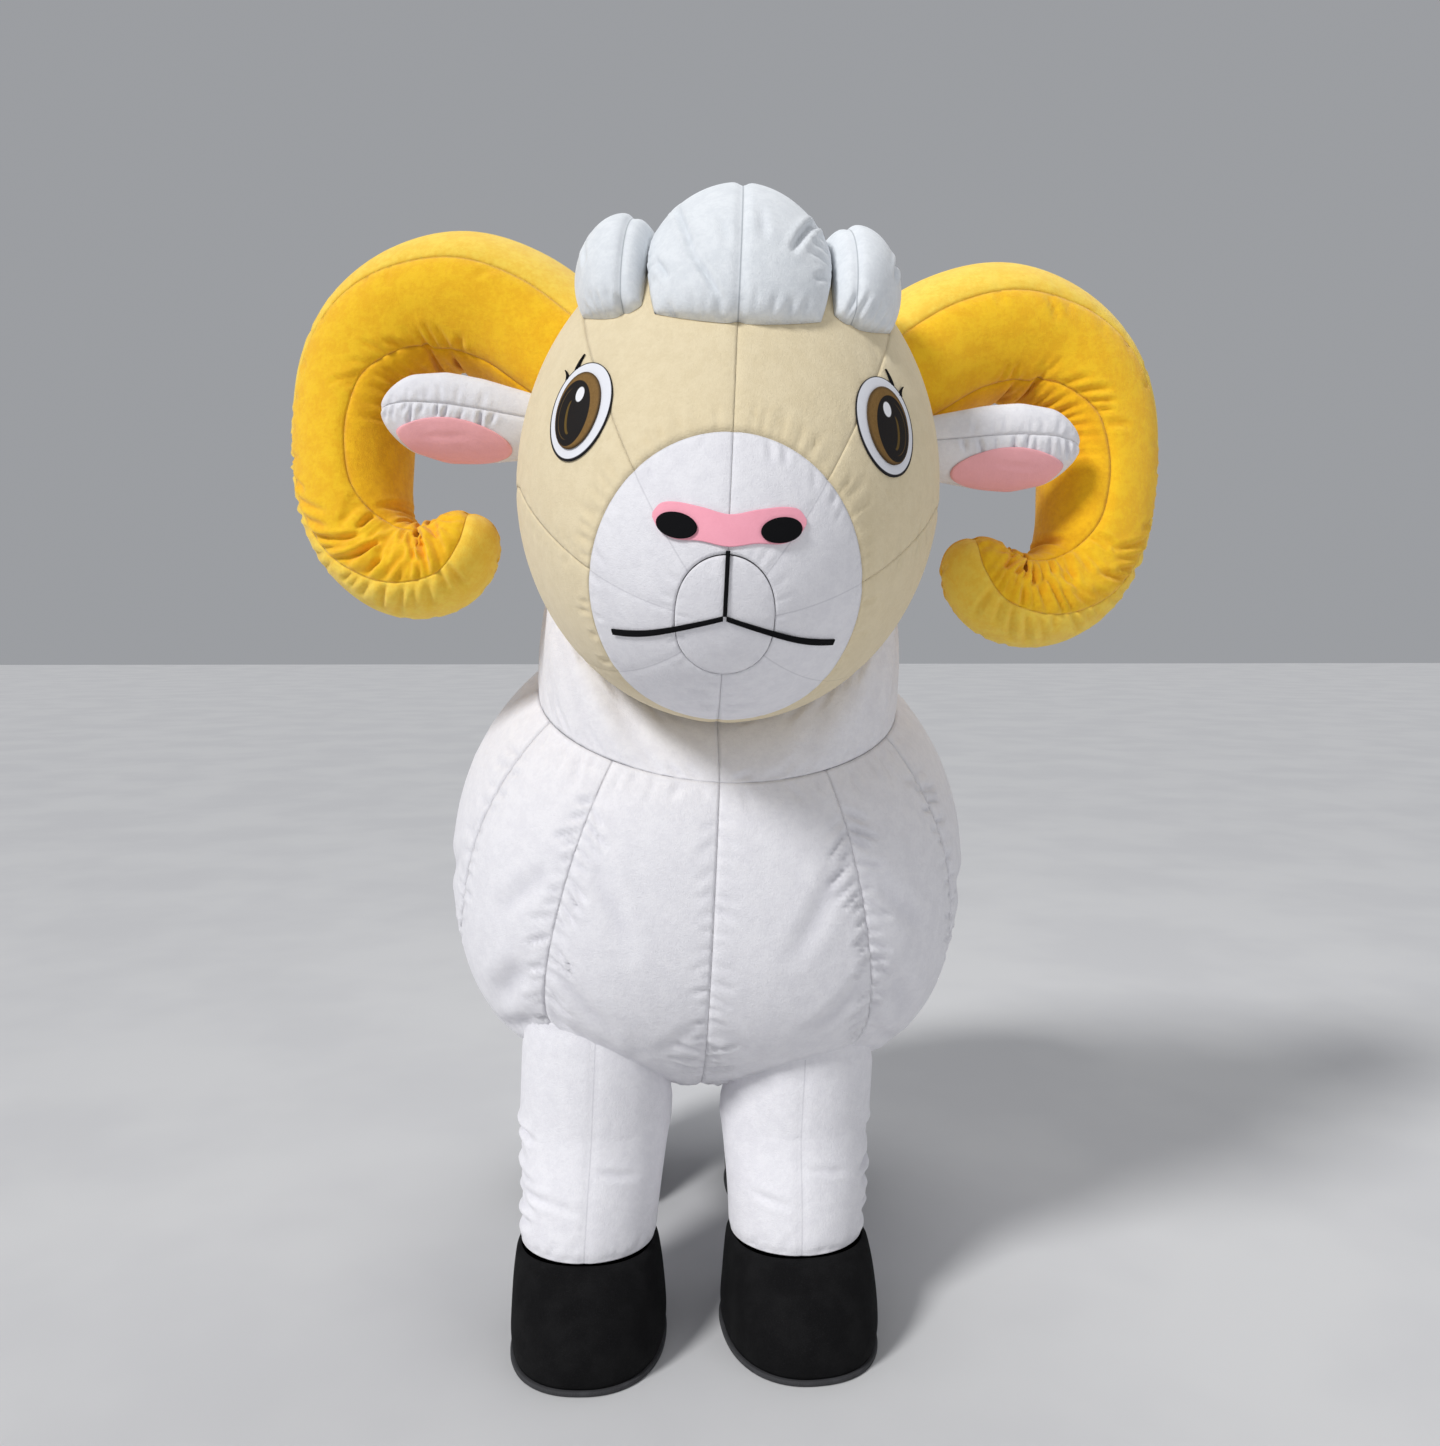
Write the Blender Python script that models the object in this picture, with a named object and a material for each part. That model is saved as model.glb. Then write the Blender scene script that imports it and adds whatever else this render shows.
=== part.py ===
"""An inflatable goat costume: hollow plush cloth on four legs, with curled horns and a wool tuft.

Units are metres and degrees. The goat faces -Y and +Z is up. Every piece of cloth is a wall of plush
worked out from a surface function, with its pieces a hair apart at the seams. The whole figure leans a
little to its left side, as the filled costume stands.
"""

import math

import bpy
import numpy as np

# Cloth
CLOTH = 0.003
APPLIQUE = 0.002
GAP = 0.0003
PLEATED_GAP = 0.001
FACET_LIFT = 0.0006

# Stance: the whole figure leans sideways, and the origin lies under the middle of its box
LEAN = 0.047
LEAN_FROM = 0.15
LEAN_FULL = 0.60
SHIFT_X = -0.0741
SHIFT_Y = -0.1831

# Body: an egg of eight gores that run from the neck seam to the belly
BODY_CENTRE = np.array([0.0, 0.34, 0.80])
BODY_HALF_WIDTH = 0.488
BODY_FRONT = 0.540
BODY_BACK = 0.555
BODY_UP = 0.478
BODY_DOWN = 0.430
BODY_ROUND_UP = 2.0
BODY_ROUND_DOWN = 2.6
BODY_ROUND_LONG = 2.4
NECK_LEAN = 29.0
NECK_SEAM_TILT = 40.0
BELLY_TILT = 179.4
BELLY_BEND = (0.34, 0.62)
BODY_PANELS = ("chest", "shoulder", "flank", "back")
BODY_SEAMS = (0.0, 30.0, 58.0, 120.0, 180.0)
BELLY_SEAMS = (0.0, 32.0, 90.0, 145.0, 180.0)
BODY_ROWS = 11
BODY_COLS = 4

# Head: an egg with a muzzle, turned a little to its right and looking down
HEAD_CENTRE = np.array([-0.007, -0.10, 1.471])
HEAD_TURN = -1.5
HEAD_HALF_WIDTH = 0.342
HEAD_FRONT = 0.360
HEAD_BACK = 0.330
HEAD_UP = 0.405
HEAD_DOWN = 0.372
MUZZLE_DOWN = 28.0
MUZZLE_REACH = 0.095
MUZZLE_SPREAD = 0.62
HEAD_SEAMS = (0.0, 39.0, 84.0, 180.0)
HEAD_PANELS = ("forehead", "cheek", "jaw")
HEAD_COLS = (4, 4, 8)
HEAD_ROWS = 9
HEAD_FAR_CHIN = 61.0
HEAD_FAR_NAPE = 207.0
HEAD_BEND = (0.65, 1.0)
MUZZLE_ROWS = 3
DISC_CELLS = 4
DISC_SIDE = 8.8
DISC_TALL = 3.0
DISC_EASE = 0.985
PATCH_SIDE = 28.3
PATCH_TOP = 5.5
PATCH_CHIN = 11.5

# Neck opening under and behind the head
NECK_HOLE_DOWN = 45.0
NECK_HOLE_SIDE = 60.0
NECK_HOLE_LONG = 46.0
NECK_ROWS = 3
NECK_SWELL = 0.012

# Legs, hooves and soles
LEG_TOP_RADIUS = 0.137
LEG_TOP_RISE = 0.016
LEG_ROWS = 5
LEG_COLS = 18
LEG_LOW = 0.1685
LEG_STRAIGHT_FROM = 0.362
LEG_TOP_SHARE = 0.2
HOOF_ROUND = 2.3
HOOF_COLS = 18
SOLE_HEIGHT = 0.009
CUTTER_SLACK = 0.0007
CUTTER_LOW = 0.34
CUTTER_HIGH = 0.72
LEGS = (
    # name, axis x, axis y, outward turn of the toe, step of the sole to the right
    ("front_left", -0.188, 0.042, 3.0, 0.014),
    ("front_right", 0.174, 0.056, 8.0, 0.000),
    ("rear_left", -0.212, 0.640, 2.0, 0.000),
    ("rear_right", 0.212, 0.640, 2.0, 0.000),
)
LEG_SHAPE = (
    # height, radius, step of the axis towards the toe
    (LEG_STRAIGHT_FROM, LEG_TOP_RADIUS, 0.0),
    (0.325, 0.132, 0.012),
    (0.270, 0.127, 0.032),
    (0.215, 0.123, 0.047),
    (LEG_LOW, 0.121, 0.056),
)
HOOF_SHAPE = (
    # height, half width, half length, step of the middle towards the toe
    (0.1682, 0.121, 0.121, 0.056),
    (0.156, 0.125, 0.134, 0.064),
    (0.128, 0.129, 0.152, 0.078),
    (0.090, 0.132, 0.170, 0.091),
    (0.045, 0.134, 0.181, 0.098),
    (0.0093, 0.131, 0.182, 0.099),
)
SOLE_HALF_WIDTH = 0.135
SOLE_HALF_LENGTH = 0.186

# Horns: four panels along a curl, one row for each station of the centre line
HORN_ROWS = 22
HORN_COLS = 4
HORN_ROW_EASE = 1.3
HORN_PLEAT_DEPTH = 0.075
HORN_PLEAT_FADE = 0.08
HORN_PLEAT_STRETCHES = ((0.16, 0.40), (0.56, 0.94))
HORN_SQUARE = 2.3
HORN_ROUND_FROM = 0.90
HORN_END_SHARE = 0.9995
HORN_EXIT_SHARE = 0.30
HORN_STEP = 0.004
HORN_BEND_STEP = 0.02
HORN_BEND_FREE = 0.48
HORN_BEND_LEFT = 0.22
HORN_PATH = (
    # across, depth, height, radius, turn of the seam between the outer and front panels
    (0.215, 0.030, 1.640, 0.112, 66.0),
    (0.300, 0.060, 1.706, 0.117, 66.0),
    (0.385, 0.080, 1.762, 0.119, 66.0),
    (0.470, 0.090, 1.786, 0.119, 64.0),
    (0.550, 0.100, 1.768, 0.116, 56.0),
    (0.612, 0.100, 1.720, 0.111, 42.0),
    (0.648, 0.100, 1.655, 0.106, 28.0),
    (0.660, 0.092, 1.580, 0.102, 20.0),
    (0.659, 0.080, 1.505, 0.099, 18.0),
    (0.650, 0.066, 1.435, 0.094, 24.0),
    (0.625, 0.050, 1.372, 0.087, 42.0),
    (0.582, 0.030, 1.332, 0.082, 60.0),
    (0.530, 0.010, 1.318, 0.079, 72.0),
    (0.479, -0.004, 1.330, 0.075, 80.0),
    (0.446, -0.014, 1.372, 0.070, 84.0),
    (0.434, -0.020, 1.420, 0.064, 86.0),
)
HORN_TIP_FROM = 0.70
HORN_TIP_STEP = {"left": 0.006, "right": -0.012}
HORN_PANELS = (
    # name, turns of its two seams from the first seam, pleated or not
    ("front", 0.0, 76.0, False),
    ("inner", 76.0, 180.0, True),
    ("rear", 180.0, 268.0, False),
    ("outer", 268.0, 360.0, False),
)
HORN_ROOT_GAP = {"left": 0.0010, "right": 0.0022}
EAR_ROOT_GAP = {"left": -0.0012, "right": -0.0024}

# Ears: flat leaves that stand out at the sides, turned to face a little down
EAR_ROOT = np.array([0.290, -0.055, 1.560])
EAR_TIP = np.array([0.586, -0.050, 1.576])
EAR_TURN = 26.0
EAR_ROWS = 7
EAR_COLS = 4
EAR_GATHER_DEPTH = 0.055
EAR_LINING_CELLS = 6
EAR_LINING_LIFT = 0.0018
EAR_SHAPE = (
    # share of the length, half height, half thickness
    (0.00, 0.046, 0.034),
    (0.20, 0.058, 0.040),
    (0.42, 0.071, 0.042),
    (0.62, 0.076, 0.040),
    (0.80, 0.067, 0.034),
    (0.93, 0.042, 0.022),
    (1.00, 0.008, 0.005),
)
EAR_EXIT_SHARE = 0.50
EAR_PANELS = (
    # name, turns of its two seams from the middle of the face towards the top
    ("front", -92.0, 28.0),
    ("rear", 28.0, 268.0),
)
EAR_PINK_ALONG = (0.575, 0.325)
EAR_PINK_AROUND = (-29.0, 41.0)

# Wool tuft: lobes on the crown, each on a rounded quad of a plane over the crown. In that plane a direction
# of the head lies at the tangent of half its angle from straight up, x to the right and y to the back.
TUFT = (
    # name, front left, front right, rear right and rear left corner, height, lift at its rim, cells
    ("tuft_middle", (-0.215, -0.552), (0.215, -0.552), (0.140, 0.045), (-0.140, 0.045), 0.070, 0.0012, 8),
    ("tuft_left", (-0.400, -0.320), (-0.208, -0.445), (-0.150, -0.005), (-0.335, 0.045), 0.063, 0.0009, 8),
    ("tuft_right", (0.208, -0.445), (0.400, -0.320), (0.335, 0.045), (0.150, -0.005), 0.063, 0.0009, 8),
    ("tuft_rear", (-0.245, 0.062), (0.245, 0.062), (0.225, 0.505), (-0.225, 0.505), 0.068, 0.0014, 10),
)
TUFT_SQUARE = 0.65
TUFT_FULLNESS = 0.45

# Face: directions seen from the head's centre, across and up
NOSE = (
    # across, lower edge, upper edge
    (-14.2, -10.7, -9.9),
    (-12.6, -12.9, -8.2),
    (-9.6, -14.2, -7.9),
    (-5.0, -14.3, -8.6),
    (0.0, -15.0, -9.6),
    (5.0, -14.3, -8.6),
    (9.6, -14.2, -7.9),
    (12.6, -12.9, -8.2),
    (14.2, -10.7, -9.9),
)
NOSTRIL_ACROSS = 9.4
NOSTRIL_UP = -11.9
NOSTRIL_HALF = (0.0285, 0.0165)
NOSTRIL_TILT = 8.0
PHILTRUM = ((0.0, -15.6), (0.0, -21.0), (0.0, -26.2))
PHILTRUM_HALF_WIDTH = 0.0026
MOUTH = (
    # across, up, half width of the line
    (0.75, -27.2, 0.0026),
    (6.0, -28.9, 0.0031),
    (15.0, -31.6, 0.0038),
    (21.0, -32.9, 0.0042),
    (26.3, -33.7, 0.0040),
)
EYE_ACROSS = 38.2
EYE_UP = 11.8
EYE_TILT = 6.0
EYE_HALF = (0.066, 0.075)
IRIS_HALF = (0.047, 0.058)
EYE_CELLS = 6
NOSTRIL_CELLS = 4
NOSE_ROWS = 3
NOSE_COLS = 16
PHILTRUM_ROWS = 4
MOUTH_ROWS = 10

# Closing strip over the entry in the middle of the back
STRIP_FROM_ROW = 1
STRIP_TO_ROW = 6
STRIP_HALF_WIDTH = 0.016

# Finishes: colour and roughness
FINISHES = {
    "wool": ((0.83, 0.82, 0.86), 0.80),
    "tuft": ((0.80, 0.82, 0.85), 0.80),
    "beige": ((0.79, 0.70, 0.47), 0.80),
    "horn": ((0.98, 0.52, 0.02), 0.75),
    "pink": ((0.98, 0.42, 0.46), 0.80),
    "nose": ((0.98, 0.37, 0.42), 0.80),
    "black": ((0.006, 0.006, 0.008), 0.85),
    "sole": ((0.035, 0.035, 0.038), 0.65),
    "eye": ((0.85, 0.86, 0.88), 0.55),
    "iris": ((0.15, 0.085, 0.020), 0.45),
}

UP = np.array([0.0, 0.0, 1.0])
LEFT_RIGHT = np.array([1.0, 0.0, 0.0])
FRONT_BACK = np.array([0.0, 1.0, 0.0])
NORMAL_STEP = 1e-4
EDGE_INSET = 0.004


def clear_scene():
    """Removes what the scene holds."""
    for old in list(bpy.data.objects):
        bpy.data.objects.remove(old)


def unit(vectors):
    """The vectors at length one."""
    return vectors / np.linalg.norm(vectors, axis=-1, keepdims=True)


def smooth(low, high, value):
    """A soft step from 0 at low to 1 at high."""
    share = np.clip((value - low) / (high - low), 0.0, 1.0)
    return share * share * (3.0 - 2.0 * share)


def turned(across, up):
    """Directions from angles across and up, 0 across being the goat's front."""
    a, b = np.radians(across), np.radians(up)
    return np.stack([np.sin(a) * np.cos(b), -np.cos(a) * np.cos(b), np.sin(b) + 0.0 * a], axis=-1)


def polar(axis, zero, side, tilt, turn):
    """Directions at the angle tilt from an axis, turned from zero towards side."""
    t, a = np.radians(tilt)[..., None], np.radians(turn)[..., None]
    return np.cos(t) * axis + np.sin(t) * (np.cos(a) * zero + np.sin(a) * side)


def stand(points):
    """Places points of the upright figure in its leaning stance, over the origin."""
    x, y, z = points[..., 0], points[..., 1], points[..., 2]
    high = z - LEAN * x * smooth(LEAN_FROM, LEAN_FULL, z)
    return np.stack([x + LEAN * z + SHIFT_X, y + SHIFT_Y, high], axis=-1)


def column(table, index, at):
    """Reads a column of a table at shares of the way along it, on a smooth curve through its rows."""
    values = np.array([row[index] for row in table])
    last = len(values) - 1
    place = np.clip(at, 0.0, 1.0) * last
    k = np.clip(np.floor(place).astype(int), 0, last - 1)
    t = place - k
    before, start = values[np.maximum(k - 1, 0)], values[k]
    end, after = values[k + 1], values[np.minimum(k + 2, last)]
    rise_start, rise_end = (end - before) / 2.0, (after - start) / 2.0
    return (
        (2 * t**3 - 3 * t**2 + 1) * start
        + (t**3 - 2 * t**2 + t) * rise_start
        + (3 * t**2 - 2 * t**3) * end
        + (t**3 - t**2) * rise_end
    )


def material(name, finish):
    """A plain material from the table of finishes."""
    colour, roughness = FINISHES[finish]
    made = bpy.data.materials.new(name + "_cloth")
    made.use_nodes = True
    shader = made.node_tree.nodes["Principled BSDF"]
    shader.inputs["Base Color"].default_value = (*colour, 1.0)
    shader.inputs["Roughness"].default_value = roughness
    shader.inputs["Metallic"].default_value = 0.0
    return made


def mesh_object(name, points, faces, finish):
    """An object from points of the upright figure."""
    mesh = bpy.data.meshes.new(name)
    mesh.from_pydata([tuple(p) for p in stand(np.asarray(points))], [], faces)
    made = bpy.data.objects.new(name, mesh)
    bpy.context.scene.collection.objects.link(made)
    mesh.shade_smooth()
    mesh.set_sharp_from_angle(angle=math.radians(40.0))
    if finish:
        mesh.materials.append(material(name, finish))
    return made


def normals(surface, rows, cols):
    """Unit normals of a surface function, by small steps along both of its directions."""
    along = surface(rows + NORMAL_STEP, cols) - surface(rows - NORMAL_STEP, cols)
    across = surface(rows, cols + NORMAL_STEP) - surface(rows, cols - NORMAL_STEP)
    return unit(np.cross(along, across))


def drawn_in(grid, half, around):
    """Draws the open edges of a grid in by half a gap, so that pieces stay apart at the seam."""
    out = grid.copy()
    out[0] += half * unit(grid[1] - grid[0])
    out[-1] += half * unit(grid[-2] - grid[-1])
    if not around:
        out[:, 0] += half * unit(grid[:, 1] - grid[:, 0])
        out[:, -1] += half * unit(grid[:, -2] - grid[:, -1])
    return out


def panel(name, finish, surface, rows, cols, core, lift=0.0, wall=CLOTH, around=False, gap=GAP):
    """A wall of cloth on a surface function of two shares, its outer face on the surface.

    core is a point inside the figure, or a function of the row share that gives one. With a lift the
    panel lies on the surface instead, its inner face moved out by the lift.
    """
    count = cols if around else cols + 1
    down, across = np.meshgrid(np.linspace(0, 1, rows + 1), np.arange(count) / cols, indexing="ij")
    low, high = EDGE_INSET, 1.0 - EDGE_INSET
    beside = across if around else np.clip(across, low, high)
    outer, out = surface(down, across), normals(surface, np.clip(down, low, high), beside)
    middle = core(down) if callable(core) else core
    if np.sum(out * (outer - middle)) < 0:
        out = -out
    if lift:
        outer = outer + out * (lift + wall)
    inner = outer - out * wall
    layers = np.stack([drawn_in(outer, gap / 2.0, around), drawn_in(inner, gap / 2.0, around)])
    top, under = np.arange(layers[..., 0].size).reshape(layers.shape[:3])
    steps = range(count if around else count - 1)
    faces = []
    for i in range(rows):
        for j in steps:
            k = (j + 1) % count
            faces.append([top[i, j], top[i + 1, j], top[i + 1, k], top[i, k]])
            faces.append([under[i, j], under[i, k], under[i + 1, k], under[i + 1, j]])
    for j in steps:
        k = (j + 1) % count
        faces.append([top[0, j], top[0, k], under[0, k], under[0, j]])
        faces.append([top[rows, k], top[rows, j], under[rows, j], under[rows, k]])
    if not around:
        last = count - 1
        for i in range(rows):
            faces.append([top[i + 1, 0], top[i, 0], under[i, 0], under[i + 1, 0]])
            faces.append([top[i, last], top[i + 1, last], under[i + 1, last], under[i, last]])
    points = layers.reshape(-1, 3)
    if signed_volume(points, faces) < 0:
        faces = [face[::-1] for face in faces]
    return mesh_object(name, points, [[int(n) for n in face] for face in faces], finish)


def signed_volume(points, faces):
    """The volume inside quads, negative when they face inwards."""
    a, b, c, d = (points[np.array([face[i] for face in faces])] for i in range(4))
    halves = np.einsum("ij,ij->i", a, np.cross(b, c)) + np.einsum("ij,ij->i", a, np.cross(c, d))
    return float(halves.sum()) / 6.0


def to_disc(down, across):
    """Shares of a square taken to the unit disc, as two coordinates from -1 to 1."""
    x, y = 2.0 * across - 1.0, 1.0 - 2.0 * down
    return x * np.sqrt(1.0 - 0.5 * y * y), y * np.sqrt(1.0 - 0.5 * x * x)


# Body surface
NECK_AXIS = np.array([0.0, -math.sin(math.radians(NECK_LEAN)), math.cos(math.radians(NECK_LEAN))])
NECK_FRONT = np.cross(NECK_AXIS, LEFT_RIGHT) * -1.0


def body_reach(d):
    """How far the body's surface lies from its centre in each direction."""
    wide = np.abs(d[..., 0]) / BODY_HALF_WIDTH
    tall = np.abs(d[..., 2]) / np.where(d[..., 2] > 0, BODY_UP, BODY_DOWN)
    long = np.abs(d[..., 1]) / np.where(d[..., 1] < 0, BODY_FRONT, BODY_BACK)
    n = np.where(d[..., 2] > 0, BODY_ROUND_UP, BODY_ROUND_DOWN)
    ring = (wide**n + tall**n) ** (1.0 / n)
    return (ring**BODY_ROUND_LONG + long**BODY_ROUND_LONG) ** (-1.0 / BODY_ROUND_LONG)


def body_point(down, gore):
    """Points of the body by the share of the way down a gore and the gore's number from the chest.

    The gores leave the neck straight and bend round to a point straight below the body's middle.
    """
    number, side = np.arange(len(BODY_SEAMS)), np.sign(gore)
    turn = side * np.interp(np.abs(gore), number, BODY_SEAMS)
    low_turn = side * np.interp(np.abs(gore), number, BELLY_SEAMS)
    far = BELLY_TILT - NECK_LEAN * np.cos(np.radians(turn))
    high = polar(NECK_AXIS, NECK_FRONT, LEFT_RIGHT, NECK_SEAM_TILT + (far - NECK_SEAM_TILT) * down, turn)
    first = polar(NECK_AXIS, NECK_FRONT, LEFT_RIGHT, np.full_like(turn, NECK_SEAM_TILT), turn)
    start = np.degrees(np.arccos(first[..., 2]))
    low = polar(UP, -FRONT_BACK, LEFT_RIGHT, start + (BELLY_TILT - start) * down, low_turn)
    bend = smooth(*BELLY_BEND, down)[..., None]
    d = unit((1.0 - bend) * high + bend * low)
    return BODY_CENTRE + d * body_reach(d)[..., None]


def belly_height(x, y):
    """Height of the body's underside over points of the floor."""
    long = np.abs(y - BODY_CENTRE[1]) / np.where(y < BODY_CENTRE[1], BODY_FRONT, BODY_BACK)
    left = (1.0 - long**BODY_ROUND_LONG) ** (BODY_ROUND_DOWN / BODY_ROUND_LONG)
    down = (left - (np.abs(x) / BODY_HALF_WIDTH) ** BODY_ROUND_DOWN) ** (1.0 / BODY_ROUND_DOWN)
    return BODY_CENTRE[2] - BODY_DOWN * down


# Head surface, in the head's own directions
MUZZLE_AXIS = turned(0.0, -MUZZLE_DOWN)
MUZZLE_UP = np.cross(MUZZLE_AXIS, LEFT_RIGHT)
HOLE_AXIS = np.array([0.0, math.cos(math.radians(NECK_HOLE_DOWN)), -math.sin(math.radians(NECK_HOLE_DOWN))])
HOLE_NAPE = np.cross(HOLE_AXIS, LEFT_RIGHT) * -1.0


def head_reach(d):
    """How far the head's surface lies from its centre in each direction."""
    tall = np.where(d[..., 2] > 0, HEAD_UP, HEAD_DOWN)
    long = np.where(d[..., 1] < 0, HEAD_FRONT, HEAD_BACK)
    egg = ((d[..., 0] / HEAD_HALF_WIDTH) ** 2 + (d[..., 1] / long) ** 2 + (d[..., 2] / tall) ** 2) ** -0.5
    off = np.arccos(np.clip(d @ MUZZLE_AXIS, -1.0, 1.0))
    return egg + MUZZLE_REACH * np.exp(-((off / MUZZLE_SPREAD) ** 2))


def head_turned(d):
    """Directions of the head's own frame in the figure's frame."""
    a = math.radians(HEAD_TURN)
    x, y = d[..., 0], d[..., 1]
    c, s = math.cos(a), math.sin(a)
    return np.stack([x * c - y * s, x * s + y * c, d[..., 2]], axis=-1)


def on_head(d, height=0.0):
    """Points on the head, or at a height over it, in directions of its own frame."""
    d = unit(d)
    return HEAD_CENTRE + head_turned(d) * (head_reach(d) + height)[..., None]


def neck_hole(turn):
    """Directions of the neck opening's rim, 0 at the nape and 180 under the chin."""
    a = np.radians(turn)[..., None]
    side = math.tan(math.radians(NECK_HOLE_SIDE)) * np.sin(a) * LEFT_RIGHT
    long = math.tan(math.radians(NECK_HOLE_LONG)) * np.cos(a) * HOLE_NAPE
    return unit(HOLE_AXIS + side + long)


def patch_tilt(turn):
    """Angle of the white patch's rim from the muzzle's axis."""
    c = np.cos(np.radians(turn))
    return PATCH_SIDE + PATCH_TOP * np.maximum(c, 0) ** 2 + PATCH_CHIN * np.maximum(-c, 0) ** 3


def disc_tilt(turn):
    """Angle of the muzzle disc's rim from the muzzle's axis."""
    return DISC_SIDE + DISC_TALL * np.cos(np.radians(turn)) ** 2


def head_far(turn):
    """Angle of the neck opening's rim from the muzzle's axis."""
    share = (0.5 + 0.5 * np.cos(np.radians(turn))) ** 2
    return HEAD_FAR_CHIN + (HEAD_FAR_NAPE - HEAD_FAR_CHIN) * share


def head_direction(tilt, turn):
    """Directions that leave the muzzle straight and bend round to the neck opening."""
    plain = polar(MUZZLE_AXIS, MUZZLE_UP, LEFT_RIGHT, tilt, turn)
    bend = smooth(*HEAD_BEND, tilt / head_far(turn))[..., None]
    return unit((1.0 - bend) * plain + bend * neck_hole(turn))


def make_body():
    """Eight gores from the neck seam to the belly, with holes for the legs."""
    cutters = [leg_cutter(name, x, y) for name, x, y, _, _ in LEGS]
    for side, sign in (("left", -1.0), ("right", 1.0)):
        for number, label in enumerate(BODY_PANELS):

            def gore(down, across, number=number, sign=sign):
                return body_point(down, sign * (number + across))

            made = panel(f"{label}_{side}", "wool", gore, BODY_ROWS, BODY_COLS, BODY_CENTRE)
            for cutter in cutters:
                if side in cutter.name and (label in ("chest", "shoulder")) == ("front" in cutter.name):
                    cut = made.modifiers.new(cutter.name, "BOOLEAN")
                    cut.operation = "DIFFERENCE"
                    cut.solver = "EXACT"
                    cut.object = cutter


def leg_cutter(name, x, y):
    """A prism that opens the body where a leg joins it."""
    turn = np.arange(LEG_COLS) * 2.0 * math.pi / LEG_COLS
    radius = LEG_TOP_RADIUS + CUTTER_SLACK
    ring = np.stack([x + radius * np.sin(turn), y - radius * np.cos(turn), 0.0 * turn], axis=-1)
    cutter = prism(f"cutter_{name}", ring, CUTTER_LOW, CUTTER_HIGH, None)
    cutter.display_type = "WIRE"
    cutter.hide_render = True
    return cutter


def make_head():
    """The white muzzle in two halves around its disc, and three coloured gores on each side."""

    def disc(down, across):
        x, y = to_disc(down, across)
        turn = np.degrees(np.arctan2(x, y))
        tilt = DISC_EASE * disc_tilt(turn) * np.hypot(x, y)
        return on_head(polar(MUZZLE_AXIS, MUZZLE_UP, LEFT_RIGHT, tilt, turn))

    panel("muzzle_disc", "wool", disc, DISC_CELLS, DISC_CELLS, HEAD_CENTRE)
    for side, sign in (("left", -1.0), ("right", 1.0)):

        def muzzle(down, across, sign=sign):
            turn = sign * muzzle_turn(across)
            tilt = disc_tilt(turn) + (patch_tilt(turn) - disc_tilt(turn)) * down
            return on_head(head_direction(tilt, turn))

        panel(f"muzzle_{side}", "wool", muzzle, MUZZLE_ROWS, sum(HEAD_COLS), HEAD_CENTRE)
        for label, start, end, cols in zip(HEAD_PANELS, HEAD_SEAMS, HEAD_SEAMS[1:], HEAD_COLS):

            def gore(down, across, start=start, end=end, sign=sign):
                turn = sign * (start + (end - start) * across)
                near = patch_tilt(turn)
                return on_head(head_direction(near + (head_far(turn) - near) * down, turn))

            panel(f"{label}_{side}", "beige", gore, HEAD_ROWS, cols, HEAD_CENTRE)


def muzzle_turn(across):
    """Turns across a muzzle half whose columns meet those of the gores."""
    ends = np.cumsum((0,) + HEAD_COLS) / sum(HEAD_COLS)
    return np.interp(across, ends, HEAD_SEAMS)


def make_neck():
    """The neck in two halves, from the chest's seam to the opening under the head."""
    for side, sign in (("left", -1.0), ("right", 1.0)):

        def half(down, across, sign=sign):
            top = on_head(neck_hole(sign * muzzle_turn(1.0 - across)))
            low = body_point(np.zeros_like(across), sign * len(BODY_PANELS) * across)
            swell = NECK_SWELL * np.sin(math.pi * np.clip(down, 0, 1))[..., None]
            mixed = top + (low - top) * down[..., None]
            return mixed + swell * unit(mixed - (HEAD_CENTRE + BODY_CENTRE) / 2.0)

        panel(f"neck_{side}", "wool", half, NECK_ROWS, sum(HEAD_COLS), (HEAD_CENTRE + BODY_CENTRE) / 2.0)


def make_legs():
    """Four tubes from the hooves up to the body's underside, the rear pair like the front one."""
    for name, x, y, toe, _ in LEGS:
        a = math.radians(math.copysign(1.0, x) * toe)

        def tube(down, across, x=x, y=y, a=a):
            turn = 2.0 * math.pi * across
            low = np.clip((down - LEG_TOP_SHARE) / (1.0 - LEG_TOP_SHARE), 0.0, 1.0)
            radius, step = column(LEG_SHAPE, 1, low), column(LEG_SHAPE, 2, low)
            px = x + radius * np.sin(turn) + step * math.sin(a)
            py = y - radius * np.cos(turn) - step * math.cos(a)
            height = column(LEG_SHAPE, 0, low)
            rise = np.clip(1.0 - down / LEG_TOP_SHARE, 0.0, 1.0)
            top = belly_height(px, py) + LEG_TOP_RISE
            return np.stack([px, py, height + rise * (top - height)], axis=-1)

        core = np.array([x, y, LEG_STRAIGHT_FROM])
        panel(f"leg_{name}", "wool", tube, LEG_ROWS, LEG_COLS, core, around=True)


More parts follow.
